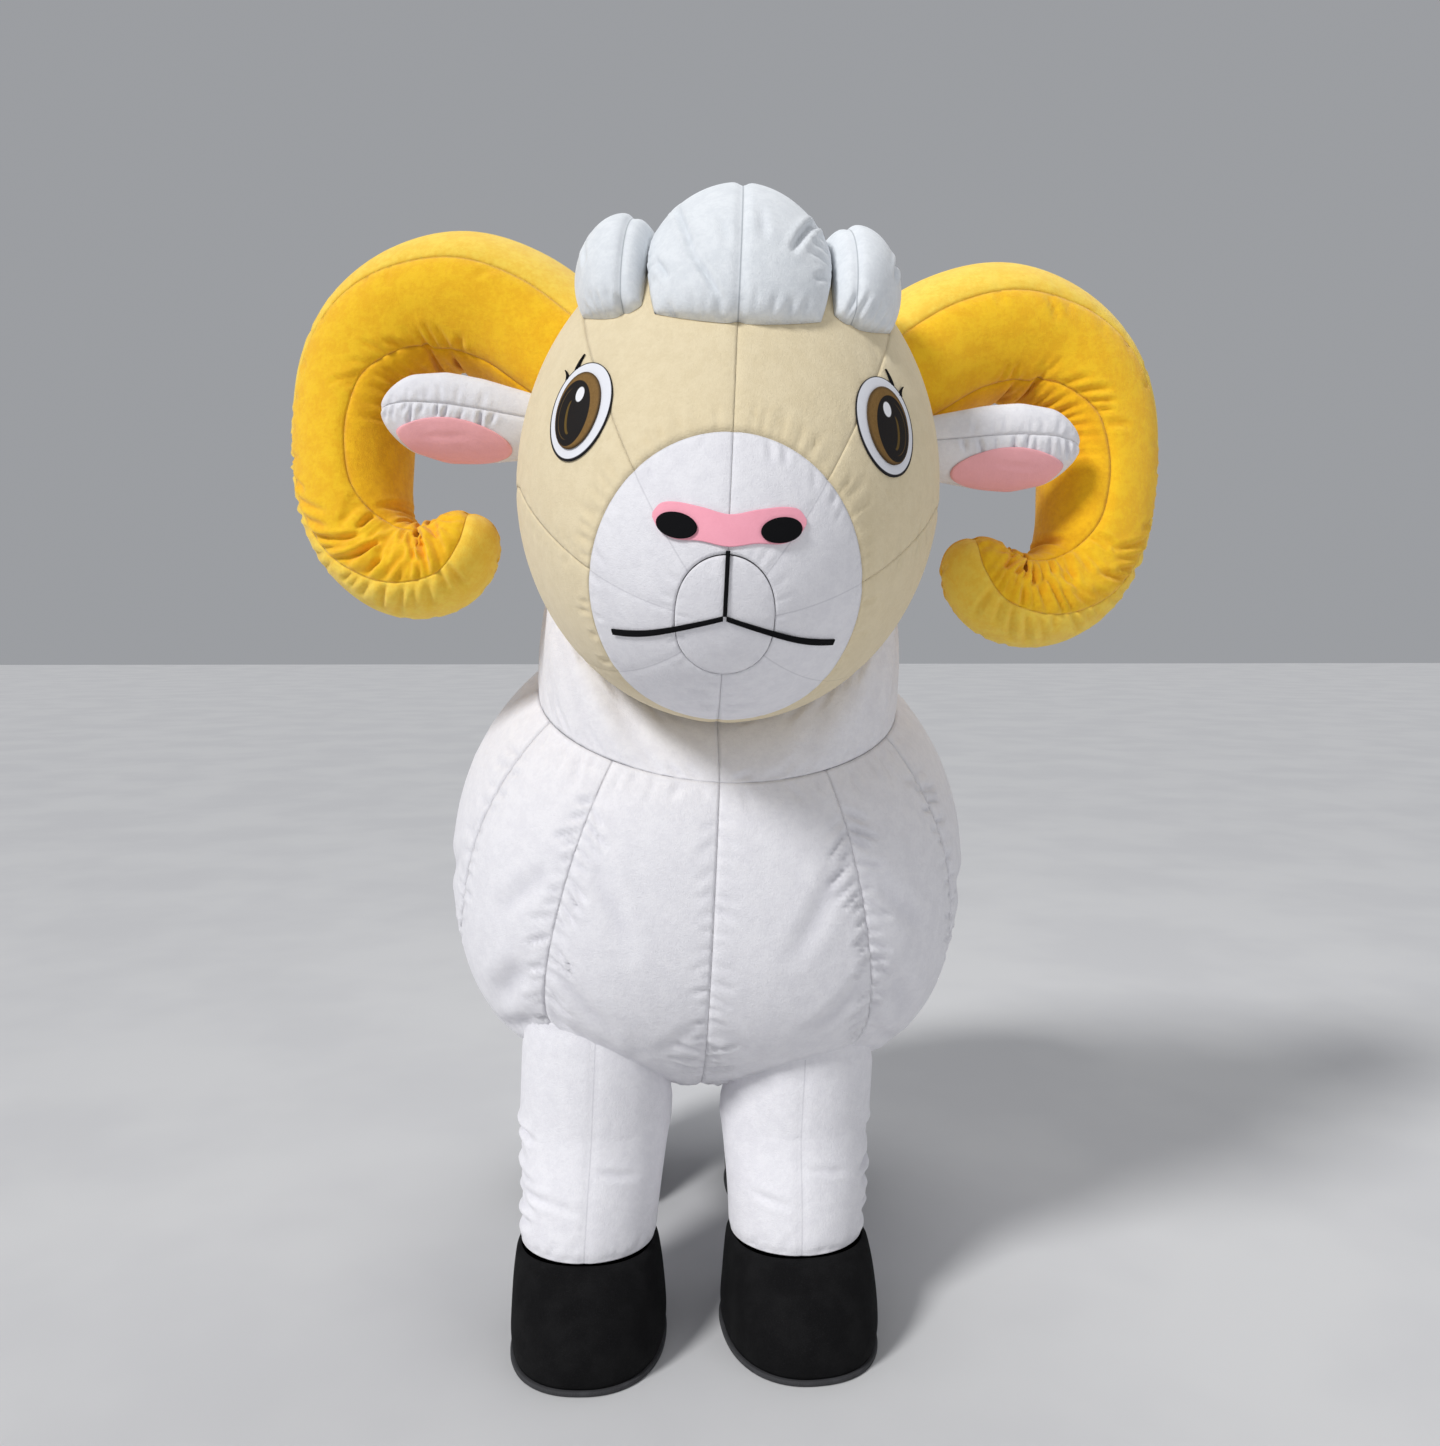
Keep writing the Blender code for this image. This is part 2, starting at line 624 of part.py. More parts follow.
def make_hooves():
    """A soft boot and a flat sole on each leg."""
    for name, x, y, toe, step in LEGS:
        a = math.radians(math.copysign(1.0, x) * toe)
        toe_way = np.array([math.sin(a), -math.cos(a), 0.0])
        side_way = np.array([math.cos(a), math.sin(a), 0.0])
        axis = np.array([x, y, 0.0])

        def boot(down, across, axis=axis, toe_way=toe_way, side_way=side_way, step=step):
            wide, long = round_pair(360.0 * across, HOOF_ROUND)
            height, half_wide, half_long, forward = (column(HOOF_SHAPE, k, down) for k in range(4))
            side = (half_wide * wide + step * smooth(0.0, 1.0, down))[..., None] * side_way
            along = (half_long * long + forward)[..., None] * toe_way
            return axis + side + along + height[..., None] * UP

        core = axis + LEG_LOW / 2.0 * UP
        panel(f"hoof_{name}", "black", boot, len(HOOF_SHAPE) - 1, HOOF_COLS, core, around=True)
        wide, long = round_pair(np.arange(HOOF_COLS) * 360.0 / HOOF_COLS, HOOF_ROUND)
        side = (SOLE_HALF_WIDTH * wide + step)[:, None] * side_way
        along = (SOLE_HALF_LENGTH * long + HOOF_SHAPE[-1][3])[:, None] * toe_way
        prism(f"sole_{name}", axis + side + along, 0.0, SOLE_HEIGHT, "sole")


def round_pair(turn, power):
    """Across and along shares of a rounded outline, by the turn from its front."""
    s, c = np.sin(np.radians(turn)), np.cos(np.radians(turn))
    reach = (np.abs(s) ** power + np.abs(c) ** power) ** (-1.0 / power)
    return reach * s, reach * c


def prism(name, ring, low, high, finish):
    """A closed upright solid on a ring of floor points."""
    count = len(ring)
    points = np.concatenate([ring + low * UP, ring + high * UP])
    sides = [[j, (j + 1) % count, (j + 1) % count + count, j + count] for j in range(count)]
    ends = [list(range(count))[::-1], list(range(count, 2 * count))]
    return mesh_object(name, points, sides + ends, finish)


def horn_middle(along, sign):
    """Points of a horn's middle line by the share of its length."""
    step = HORN_TIP_STEP["left" if sign < 0 else "right"] * smooth(HORN_TIP_FROM, 1.0, along)
    across = sign * (column(HORN_PATH, 0, along) + step)
    return np.stack([across, column(HORN_PATH, 1, along), column(HORN_PATH, 2, along)], axis=-1)


def horn_point(along, turn, sign):
    """Points of a horn by the share of its length and the turn from its outer side to its front."""
    tangent = unit(horn_middle(along + HORN_STEP, sign) - horn_middle(along - HORN_STEP, sign))
    front = unit(-FRONT_BACK + tangent * tangent[..., 1:2])
    out = np.cross(front, tangent) * sign
    end = np.clip((along - HORN_ROUND_FROM) / (1.0 - HORN_ROUND_FROM), 0.0, 1.0)
    seam = column(HORN_PATH, 4, along)
    square = np.radians(turn - seam - 45.0)
    n = HORN_SQUARE
    bulge = (np.abs(np.cos(square)) ** n + np.abs(np.sin(square)) ** n) ** (-1.0 / n)
    radius = column(HORN_PATH, 3, along) * np.sqrt(np.maximum(1.0 - end * end, 0.0)) * bulge
    a = np.radians(turn)
    reach = radius[..., None] * (np.cos(a)[..., None] * out + np.sin(a)[..., None] * front)
    bend = horn_bend(along, sign)
    inside = np.sum(reach * bend, axis=-1, keepdims=True)
    over = np.maximum(inside - HORN_BEND_FREE, 0.0)
    kept = HORN_BEND_LEFT * np.tanh(over / HORN_BEND_LEFT)
    return horn_middle(along, sign) + reach - (over - kept) * bend / np.sum(bend * bend, axis=-1, keepdims=True)


def horn_bend(along, sign):
    """How a horn's middle line bends: towards the middle of the bend, as long as one over its radius."""
    step = HORN_BEND_STEP
    middle = np.clip(along, step, 1.0 - step)
    behind, here, ahead = (horn_middle(middle + k * step, sign) for k in (-1, 0, 1))
    length = np.linalg.norm(ahead - behind, axis=-1, keepdims=True) / 2.0
    return (unit(ahead - here) - unit(here - behind)) / length


def between_rows(surface, rows, down, across):
    """Points of a surface on straight lines between its rows, so that finer rows keep the same seams."""
    low = np.clip(np.floor(down * rows), 0, rows - 1)
    share = (down * rows - low)[..., None]
    return surface(low / rows, across) * (1.0 - share) + surface((low + 1) / rows, across) * share


def horn_pleats(down, across):
    """How far the pleats draw a horn's inner panel in, most in its middle and none at its seams."""
    wave = 0.5 - 0.5 * np.cos(2.0 * math.pi * HORN_ROWS * down)
    fade = HORN_PLEAT_FADE
    stretch = 0.0
    for start, end in HORN_PLEAT_STRETCHES:
        stretch = stretch + smooth(start, start + fade, down) * (1.0 - smooth(end - fade, end, down))
    return HORN_PLEAT_DEPTH * wave * stretch * np.sin(math.pi * np.clip(across, 0.0, 1.0)) ** 2


def leaves_head(point, turn, limit, gap):
    """The share of the way along a tube at which each of its lines leaves the head."""
    shares = np.linspace(0.0, limit, 61)
    grid = np.stack([point(np.full_like(turn, share), turn) for share in shares])
    off = head_clearance(grid) - gap
    inside = (off < 0) * np.arange(1, len(shares) + 1).reshape((-1,) + (1,) * turn.ndim)
    last = np.clip(inside.max(axis=0) - 1, 0, len(shares) - 2)
    low = np.take_along_axis(off, last[None], 0)[0]
    high = np.take_along_axis(off, last[None] + 1, 0)[0]
    return shares[last] + (shares[1] - shares[0]) * np.clip(low / (low - high), 0.0, 1.0)


def head_clearance(points):
    """How far points lie outside the head."""
    away = points - HEAD_CENTRE
    a = math.radians(-HEAD_TURN)
    c, s = math.cos(a), math.sin(a)
    x, y = away[..., 0], away[..., 1]
    own = np.stack([x * c - y * s, x * s + y * c, away[..., 2]], axis=-1)
    return np.linalg.norm(away, axis=-1) - head_reach(unit(own))


def make_horns():
    """Two curled horns of four panels each, open where they meet the head."""
    for side, sign in (("left", -1.0), ("right", 1.0)):
        for label, start, end, pleated in HORN_PANELS:

            def strip(down, across, start=start, end=end, sign=sign, gap=HORN_ROOT_GAP[side]):
                def point(along, offset):
                    return horn_point(along, column(HORN_PATH, 4, along) + offset, sign)

                offset = start + (end - start) * across
                root = leaves_head(point, offset, HORN_EXIT_SHARE, gap)
                eased = 1.0 - np.abs(1.0 - down) ** HORN_ROW_EASE
                return point(root + (HORN_END_SHARE - root) * eased, offset)

            def core(down, sign=sign):
                return horn_middle(HORN_EXIT_SHARE / 2 + (1.0 - HORN_EXIT_SHARE / 2) * down, sign)

            def surface(down, across, strip=strip, core=core, pleated=pleated):
                plain = between_rows(strip, HORN_ROWS, down, across)
                pinch = horn_pleats(down, across)[..., None] if pleated else 0.0
                return plain + (core(down) - plain) * pinch

            rows = 2 * HORN_ROWS if pleated else HORN_ROWS
            gap = PLEATED_GAP if pleated else GAP
            panel(f"horn_{side}_{label}", "horn", surface, rows, HORN_COLS, core, gap=gap)


def ear_point(along, turn, sign):
    """Points of an ear by the share of its length and the turn from the middle of its face."""
    mirror = np.array([sign, 1.0, 1.0])
    t = math.radians(EAR_TURN)
    top = np.array([0.0, -math.sin(t), math.cos(t)])
    face = np.array([0.0, -math.cos(t), -math.sin(t)])
    centre = EAR_ROOT + (EAR_TIP - EAR_ROOT) * along[..., None]
    a = np.radians(turn)[..., None]
    share, high, thick = (np.array([row[k] for row in EAR_SHAPE]) for k in range(3))
    high, thick = np.interp(along, share, high)[..., None], np.interp(along, share, thick)[..., None]
    return mirror * (centre + high * np.sin(a) * top + thick * np.cos(a) * face)


def ear_gathers(down, across):
    """How far the gathers draw an ear's front panel in, next to the seam along its top."""
    wave = 0.5 - 0.5 * np.cos(2.0 * math.pi * EAR_ROWS * down)
    stretch = smooth(0.0, 0.15, down) * (1.0 - smooth(0.8, 1.0, down))
    edge = smooth(0.70, 0.80, across) * (1.0 - smooth(0.90, 1.0, across))
    return EAR_GATHER_DEPTH * wave * stretch * edge


def make_ears():
    """Two ears of a front and a rear panel, with a pink lining on the face."""
    for side, sign in (("left", -1.0), ("right", 1.0)):
        middle = np.array([sign, 1.0, 1.0]) * (EAR_ROOT + EAR_TIP) / 2.0
        for label, start, end in EAR_PANELS:

            def leaf(down, across, start=start, end=end, sign=sign, gap=EAR_ROOT_GAP[side]):
                def point(along, at):
                    return ear_point(along, at, sign)

                turn = start + (end - start) * across
                root = leaves_head(point, turn, EAR_EXIT_SHARE, gap)
                return point(root + (1.0 - root) * down, turn)

            def surface(down, across, leaf=leaf, middle=middle, gathered=label == "front"):
                plain = between_rows(leaf, EAR_ROWS, down, across)
                pinch = ear_gathers(down, across)[..., None] if gathered else 0.0
                return plain + (middle - plain) * pinch

            rows, cols = (2 * EAR_ROWS, EAR_COLS) if label == "front" else (EAR_ROWS, 2 * EAR_COLS)
            panel(f"ear_{side}_{label}", "wool", surface, rows, cols, middle)

        def lining(down, across, sign=sign):
            x, y = to_disc(down, across)
            along = EAR_PINK_ALONG[0] + EAR_PINK_ALONG[1] * x
            return ear_point(along, EAR_PINK_AROUND[0] + EAR_PINK_AROUND[1] * y, sign)

        cells, lift = EAR_LINING_CELLS, EAR_LINING_LIFT
        panel(f"ear_{side}_lining", "pink", lining, cells, cells, middle, lift, APPLIQUE)


def make_tuft():
    """Lobes of wool on the crown, open where they lie on the head."""
    for name, *corners, height, lift, cells in TUFT:

        def lobe(down, share, corners=np.array(corners), height=height, lift=lift):
            x, y = to_disc(down, share)
            full = np.maximum(1.0 - x * x - y * y, 0.0) ** TUFT_FULLNESS
            right = 0.5 + 0.5 * (x + TUFT_SQUARE * (2.0 * share - 1.0 - x))[..., None]
            front = 0.5 - 0.5 * (y + TUFT_SQUARE * (1.0 - 2.0 * down - y))[..., None]
            fore = corners[0] * (1.0 - right) + corners[1] * right
            rear = corners[3] * (1.0 - right) + corners[2] * right
            spot = rear + (fore - rear) * front
            far = np.sum(spot * spot, axis=-1)
            way = np.stack([2.0 * spot[..., 0], 2.0 * spot[..., 1], 1.0 - far], axis=-1)
            return on_head(way, lift + height * full)

        panel(name, "tuft", lobe, cells, cells, HEAD_CENTRE)


def face_patch(name, finish, patch, rows, cols, layers):
    """A thin piece sewn on the face, over a number of layers that lie under it."""
    lift = (layers + 1) * (GAP + FACET_LIFT) + layers * APPLIQUE
    panel(name, finish, patch, rows, cols, HEAD_CENTRE, lift, APPLIQUE)


def oval_on_head(across, up, half, tilt):
    """A surface function of an oval on the head, in metres around a direction."""
    middle = turned(across, up)
    side = unit(np.cross(UP, -middle))
    top = np.cross(middle, side) * -1.0
    reach = float(head_reach(middle))
    c, s = math.cos(math.radians(tilt)), math.sin(math.radians(tilt))

    def oval(down, share):
        x, y = to_disc(down, share)
        x, y = half[0] * x, half[1] * y
        x, y = (x * c - y * s)[..., None], (x * s + y * c)[..., None]
        return on_head(middle + (x * side + y * top) / reach)

    return oval


def make_face():
    """Nose, nostrils, mouth and eyes, sewn on the head."""

    def nose(down, across):
        low, high = column(NOSE, 1, across), column(NOSE, 2, across)
        return on_head(turned(column(NOSE, 0, across), high + (low - high) * down))

    face_patch("nose", "nose", nose, NOSE_ROWS, NOSE_COLS, 0)

    def philtrum(down, across):
        half = math.degrees(PHILTRUM_HALF_WIDTH / HEAD_FRONT)
        return on_head(turned((2.0 * across - 1.0) * half, column(PHILTRUM, 1, down)))

    face_patch("philtrum", "black", philtrum, PHILTRUM_ROWS, 1, 0)
    for side, sign in (("left", -1.0), ("right", 1.0)):
        nostril = oval_on_head(sign * NOSTRIL_ACROSS, NOSTRIL_UP, NOSTRIL_HALF, -sign * NOSTRIL_TILT)
        face_patch(f"nostril_{side}", "black", nostril, NOSTRIL_CELLS, NOSTRIL_CELLS, 1)

        def mouth(down, across, sign=sign):
            half = np.degrees(column(MOUTH, 2, down) / HEAD_FRONT)
            at = sign * column(MOUTH, 0, down)
            return on_head(turned(at, column(MOUTH, 1, down) + (1.0 - 2.0 * across) * half))

        face_patch(f"mouth_{side}", "black", mouth, MOUTH_ROWS, 1, 0)
        for label, finish, half, layers in (("white", "eye", EYE_HALF, 0), ("iris", "iris", IRIS_HALF, 1)):
            oval = oval_on_head(sign * EYE_ACROSS, EYE_UP, half, sign * EYE_TILT)
            face_patch(f"eye_{side}_{label}", finish, oval, EYE_CELLS, EYE_CELLS, layers)


def make_strip():
    """The closing strip over the entry in the middle of the back."""

    def strip(down, across):
        row = STRIP_FROM_ROW + (STRIP_TO_ROW - STRIP_FROM_ROW) * down
        middle = body_point(row / BODY_ROWS, np.full_like(across, float(len(BODY_PANELS))))
        edge = (2.0 * across - 1.0)[..., None] * STRIP_HALF_WIDTH * LEFT_RIGHT
        d = unit(middle + edge - BODY_CENTRE)
        return BODY_CENTRE + d * body_reach(d)[..., None]

    rows, lift = STRIP_TO_ROW - STRIP_FROM_ROW, GAP + FACET_LIFT
    panel("back_strip", "wool", strip, rows, 2, BODY_CENTRE, lift, APPLIQUE)


def main():
    """Makes the whole costume."""
    clear_scene()
    make_body()
    make_neck()
    make_head()
    make_legs()
    make_hooves()
    make_horns()
    make_ears()
    make_tuft()
    make_face()
    make_strip()


if __name__ == "__main__":
    main()
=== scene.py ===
"""Dresses the inflatable goat costume: plush cloth with seams, puckers and creases on every panel."""

import logging
import math
from dataclasses import dataclass, field
from enum import Enum, IntEnum
from typing import Any, Callable, Sequence

import bmesh
import bpy
import numpy as np
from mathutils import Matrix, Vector


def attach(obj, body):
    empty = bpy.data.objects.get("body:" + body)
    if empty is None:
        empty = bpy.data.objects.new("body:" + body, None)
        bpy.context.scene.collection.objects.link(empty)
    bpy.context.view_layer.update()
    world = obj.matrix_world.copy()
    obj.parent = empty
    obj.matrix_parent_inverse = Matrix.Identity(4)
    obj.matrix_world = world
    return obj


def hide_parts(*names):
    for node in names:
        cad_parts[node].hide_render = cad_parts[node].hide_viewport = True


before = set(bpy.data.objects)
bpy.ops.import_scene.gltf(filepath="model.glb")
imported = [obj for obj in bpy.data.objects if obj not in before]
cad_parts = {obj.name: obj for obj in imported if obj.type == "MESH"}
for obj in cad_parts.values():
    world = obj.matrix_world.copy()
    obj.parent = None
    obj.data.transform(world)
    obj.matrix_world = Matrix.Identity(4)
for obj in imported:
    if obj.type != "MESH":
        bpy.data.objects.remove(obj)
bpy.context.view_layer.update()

Array = np.ndarray
Surface = Callable[[Array, Array], Array]
Colour = tuple[float, float, float]
Rows = tuple[tuple[float, ...], ...]
Piece = bpy.types.Object
Mesh = bpy.types.Mesh
Material = bpy.types.Material

log = logging.getLogger("costume")

BODY = "root"
WALL = 0.003
APPLIQUE_WALL = 0.002
SEAM_GAP = 0.0003
APPLIQUE_LIFT = 0.0009
UP = np.array([0.0, 0.0, 1.0])
SIDE = np.array([1.0, 0.0, 0.0])
BACK = np.array([0.0, 1.0, 0.0])
NORMAL_STEP = 1e-4
AHEAD = 0.01
EDGE_INSET = 0.004
FAR_LINE = 0.05
LEAST_CUT = 0.0101
LEAST_FILL = 0.301
NOISE_ROUGHNESS = 0.55
SIDES = (("left", -1.0), ("right", 1.0))


class Edge(Enum):
    """The four edges of a panel."""

    TOP = "top"
    BOTTOM = "bottom"
    LEFT = "left"
    RIGHT = "right"


class Hold(Enum):
    """How the cloth of a panel is held."""

    TAUT = "stretched"
    GATHERED = "gathered"


class Seed(IntEnum):
    """Where the seeds of the uneven creases start, for each sort of piece."""

    TORSO = 100
    STRIP = 131
    DISC = 201
    MUZZLE = 205
    HEAD = 210
    NECK = 230
    LEG = 300
    HORN = 400
    EAR = 500
    LINING = 508
    TUFT = 600
    FACE = 700


def unit(vectors: Array) -> Array:
    """Returns the vectors at length one."""
    return vectors / np.linalg.norm(vectors, axis=-1, keepdims=True)


def smooth(low: float, high: float, value: Array) -> Array:
    """Returns a soft step from 0 at low to 1 at high."""
    share = np.clip((value - low) / (high - low), 0.0, 1.0)
    return share * share * (3.0 - 2.0 * share)


def bell(distance: Array, width: float) -> Array:
    """Returns a soft bell: 1 at no distance, and just over a third at the width."""
    return np.exp(-((distance / width) ** 2))


def put(name: str, data: bpy.types.ID) -> Piece:
    """Makes an object of a mesh, a light or a camera and puts it in the scene."""
    made = bpy.data.objects.new(name, data)
    bpy.context.scene.collection.objects.link(made)
    return made


def turned(across: Array | float, up: Array | float) -> Array:
    """Gives directions from angles across and up, 0 across being the goat's front.

    Args:
        across: Angles to the right of the front, in degrees.
        up: Angles above the horizon, in degrees.

    Returns:
        Unit vectors.
    """
    a, b = np.radians(across), np.radians(up)
    return np.stack([np.sin(a) * np.cos(b), -np.cos(a) * np.cos(b), np.sin(b) + 0.0 * a], axis=-1)


def polar(axis: Array, zero: Array, side: Array, tilt: Array, turn: Array) -> Array:
    """Gives directions at an angle from an axis.

    Args:
        axis: The axis.
        zero: Where a turn of 0 leans to.
        side: Where a turn of 90 leans to.
        tilt: Angles from the axis, in degrees.
        turn: Turns from zero towards side, in degrees.

    Returns:
        Unit vectors.
    """
    t, a = np.radians(tilt)[..., None], np.radians(turn)[..., None]
    return np.cos(t) * axis + np.sin(t) * (np.cos(a) * zero + np.sin(a) * side)


def column(table: Rows, index: int, at: Array) -> Array:
    """Reads a column of a table on a smooth curve through its rows.

    Args:
        table: Rows of numbers, evenly spaced.
        index: The column.
        at: Shares of the way along the table.

    Returns:
        The values at those shares.
    """
    values = np.array([row[index] for row in table])
    last = len(values) - 1
    place = np.clip(at, 0.0, 1.0) * last
    k = np.clip(np.floor(place).astype(int), 0, last - 1)
    t = place - k
    before, start = values[np.maximum(k - 1, 0)], values[k]
    end, after = values[k + 1], values[np.minimum(k + 2, last)]
    rise_start, rise_end = (end - before) / 2.0, (after - start) / 2.0
    return (
        (2 * t**3 - 3 * t**2 + 1) * start
        + (t**3 - 2 * t**2 + t) * rise_start
        + (3 * t**2 - 2 * t**3) * end
        + (t**3 - t**2) * rise_end
    )


def to_disc(down: Array, across: Array) -> tuple[Array, Array]:
    """Takes shares of a square to the unit disc.

    Args:
        down: Shares of the way down the square.
        across: Shares of the way across it.

    Returns:
        Two coordinates from -1 to 1, to the right and up.
    """
    x, y = 2.0 * across - 1.0, 1.0 - 2.0 * down
    return x * np.sqrt(1.0 - 0.5 * y * y), y * np.sqrt(1.0 - 0.5 * x * x)


@dataclass(frozen=True)
class Stance:
    """How the figure stands: it leans a little to its side, with the origin under its middle."""

    lean: float = 0.047
    lean_from: float = 0.15
    lean_full: float = 0.60
    shift_x: float = -0.0741
    shift_y: float = -0.1831

    def place(self, points: Array) -> Array:
        """Places points of the upright figure in its stance."""
        x, y, z = points[..., 0], points[..., 1], points[..., 2]
        high = z - self.lean * x * smooth(self.lean_from, self.lean_full, z)
        return np.stack([x + self.lean * z + self.shift_x, y + self.shift_y, high], axis=-1)


STANCE = Stance()


class Signal:
    """One output of a shader node, with arithmetic that adds Math nodes."""

    def __init__(self, tree: "Shader", socket: bpy.types.NodeSocket) -> None:
        """Keeps the tree and the socket."""
        self.tree = tree
        self.socket = socket

    def math(self, operation: str, *others: "Signal | float") -> "Signal":
        """Adds a Math node.

        Args:
            operation: The node's operation.
            others: Its further inputs.

        Returns:
            The node's output.
        """
        inputs = dict(enumerate((self, *others)))
        return self.tree.add("ShaderNodeMath", {"operation": operation}, inputs).out("Value")

    def __add__(self, other: "Signal | float") -> "Signal":
        """Returns self + other."""
        return self.math("ADD", other)

    __radd__ = __add__

    def __sub__(self, other: "Signal | float") -> "Signal":
        """Returns self - other."""
        return self.math("SUBTRACT", other)

    def __rsub__(self, other: float) -> "Signal":
        """Returns other - self."""
        return (self * -1.0) + other

    def __mul__(self, other: "Signal | float") -> "Signal":
        """Returns self * other."""
        return self.math("MULTIPLY", other)

    __rmul__ = __mul__

    def __abs__(self) -> "Signal":
        """Returns the size of self."""
        return self.math("ABSOLUTE")

    def __pow__(self, power: float) -> "Signal":
        """Returns self to a power."""
        return self.math("POWER", power)

    def step(self, low: float, high: float) -> "Signal":
        """Returns a soft step of self, 0 at low and 1 at high."""
        settings = {"interpolation_type": "SMOOTHSTEP"}
        inputs = {"Value": self, "From Min": low, "From Max": high, "To Min": 0.0, "To Max": 1.0}
        return self.tree.add("ShaderNodeMapRange", settings, inputs).out("Result")


class Node:
    """A shader node that gives its outputs as signals."""

    def __init__(self, tree: "Shader", made: bpy.types.Node) -> None:
        """Keeps the tree and the node."""
        self.tree = tree
        self.made = made

    def out(self, name: str | int) -> Signal:
        """Returns the output of that name or number."""
        return Signal(self.tree, self.made.outputs[name])


class Shader:
    """The node tree of one material."""

    def __init__(self, name: str) -> None:
        """Makes a material with a Principled shader."""
        self.material = bpy.data.materials.new(name)
        self.material.use_nodes = True
        self.nodes = self.material.node_tree.nodes
        self.principled = self.nodes["Principled BSDF"]

    def add(self, kind: str, settings: dict[str, Any], inputs: dict[Any, Any]) -> Node:
        """Adds a node.

        Args:
            kind: The node's type.
            settings: Its properties, set first.
            inputs: Values or signals of its sockets, by name or number.

        Returns:
            The node.
        """
        made = self.nodes.new(kind)
        for key, value in settings.items():
            setattr(made, key, value)
        for key, value in inputs.items():
            self._feed(made.inputs[key], value)
        return Node(self, made)

    def _feed(self, socket: bpy.types.NodeSocket, value: Any) -> None:
        """Links a signal to a socket or sets its value."""
        if isinstance(value, Signal):
            self.material.node_tree.links.new(value.socket, socket)
        elif socket.type == "RGBA":
            socket.default_value = (*value, 1.0)
        else:
            socket.default_value = value

    def set(self, **inputs: Any) -> None:
        """Feeds the Principled shader, an underscore standing for a space in a socket's name."""
        for key, value in inputs.items():
            self._feed(self.principled.inputs[key.replace("_", " ")], value)

    def place(self) -> Signal:
        """Returns positions in metres."""
        return self.add("ShaderNodeTexCoord", {}, {}).out("Object")

    def noise(self, scale: float, detail: float) -> Signal:
        """Returns noise from 0 to 1, of a size in waves a metre and with finer layers."""
        inputs = {"Vector": self.place(), "Scale": scale, "Detail": detail, "Roughness": NOISE_ROUGHNESS}
        return self.add("ShaderNodeTexNoise", {}, inputs).out(0)

    def layers(self, *layers: tuple[float, float, float]) -> Signal:
        """Returns a sum of noises, each given by its scale, its detail and its share."""
        parts = [self.noise(scale, detail) * share for scale, detail, share in layers]
        total = parts[0]
        for part in parts[1:]:
            total = total + part
        return total

    def attribute(self, name: str) -> Node:
        """Returns the node of a mesh attribute."""
        return self.add("ShaderNodeAttribute", {"attribute_name": name}, {})

    def mix(self, share: Signal | float, first: Signal | Colour, second: Signal | Colour) -> Signal:
        """Mixes two colours.

        Args:
            share: How much of the second there is.
            first: The first colour.
            second: The second colour.

        Returns:
            The mixed colour.
        """
        return self.add("ShaderNodeMix", {"data_type": "RGBA"}, {0: share, 6: first, 7: second}).out(2)

    def bump(self, height: Signal, distance: float) -> Signal:
        """Returns a normal bumped by a height."""
        return self.add("ShaderNodeBump", {}, {"Height": height, "Distance": distance}).out("Normal")


@dataclass(frozen=True)
class Finish:
    """What the finishes share: a name, and the name of a material slot."""

    name: str
    slot: str

    def material(self) -> Material:
        """Makes the material."""
        raise NotImplementedError


@dataclass(frozen=True)
class Plush(Finish):
    """Short-pile plush: a mottled pile, partly its own tone and partly painted sheen, with painted shade in
    its seams, creases and dips, and darker stitched lines.
    """

    colour: Colour
    shade: Colour
    # How strongly the mottle shows: patches of pile, partly their own tone and partly painted sheen.
    nap_and_sheen: float = 0.10
    sheen: float = 0.20
    pile: float = 0.0012
    gloss: float = 0.30
    thread: float = 0.30
    # How much painted shade the seams, creases and dips take.
    crease: float = 0.30
    roughness: float = 0.92
    mottle: Rows = ((38.0, 4.0, 0.6), (150.0, 3.0, 0.4))
    fibres: Rows = ((420.0, 2.0, 0.6), (1100.0, 1.0, 0.4), (90.0, 3.0, 0.8))
    stitch: tuple[float, float] = (0.0005, 0.0017)
    stitch_shade: float = 0.7

    def material(self) -> Material:
        """Makes the material."""
        shader = Shader(self.name)
        # The mottle: patches of pile, partly their own tone and partly painted sheen, mixed towards the shade
        # colour.
        lit = shader.mix(shader.layers(*self.mottle).step(0.38, 0.62) * self.nap_and_sheen, self.colour, self.shade)
        # Painted shade: darker towards the shade colour where the relief marks seams, creases and dips.
        painted_shade = shader.attribute("painted_shade").out("Fac").step(0.05, 1.0)
        with_painted_shade = shader.mix(painted_shade * self.crease, lit, self.shade)
        line = 1.0 - abs(shader.attribute("line").out("Fac")).step(*self.stitch)
        stitched = shader.mix(line * self.thread, with_painted_shade, tuple(self.stitch_shade * c for c in self.shade))
        shader.set(
            Base_Color=stitched,
            Roughness=self.roughness,
            Sheen_Weight=self.sheen,
            Sheen_Roughness=0.55,
            Specular_IOR_Level=self.gloss,
            Normal=shader.bump(shader.layers(*self.fibres), self.pile),
        )
        return shader.material


@dataclass(frozen=True)
class Velvet(Finish):
    """Black velvet with painted sheen: a faint speckle of lit pile and soft lighter clouds."""

    colour: Colour
    lit: float = 0.012
    gloss: float = 0.12
    pile: float = 0.0012
    roughness: float = 0.9

    def material(self) -> Material:
        """Makes the material."""
        shader = Shader(self.name)
        # Painted sheen: a speckle and clouds of lighter pile.
        speckle = shader.noise(700.0, 2.0).step(0.52, 0.72)
        cloud = shader.noise(22.0, 3.0).step(0.35, 0.7)
        lit = tuple(c + self.lit for c in self.colour)
        shader.set(
            Base_Color=shader.mix(speckle * 0.6 + cloud * 0.3, self.colour, lit),
            Roughness=self.roughness,
            Specular_IOR_Level=self.gloss,
            Normal=shader.bump(shader.noise(800.0, 2.0) + shader.noise(60.0, 3.0), self.pile),
        )
        return shader.material


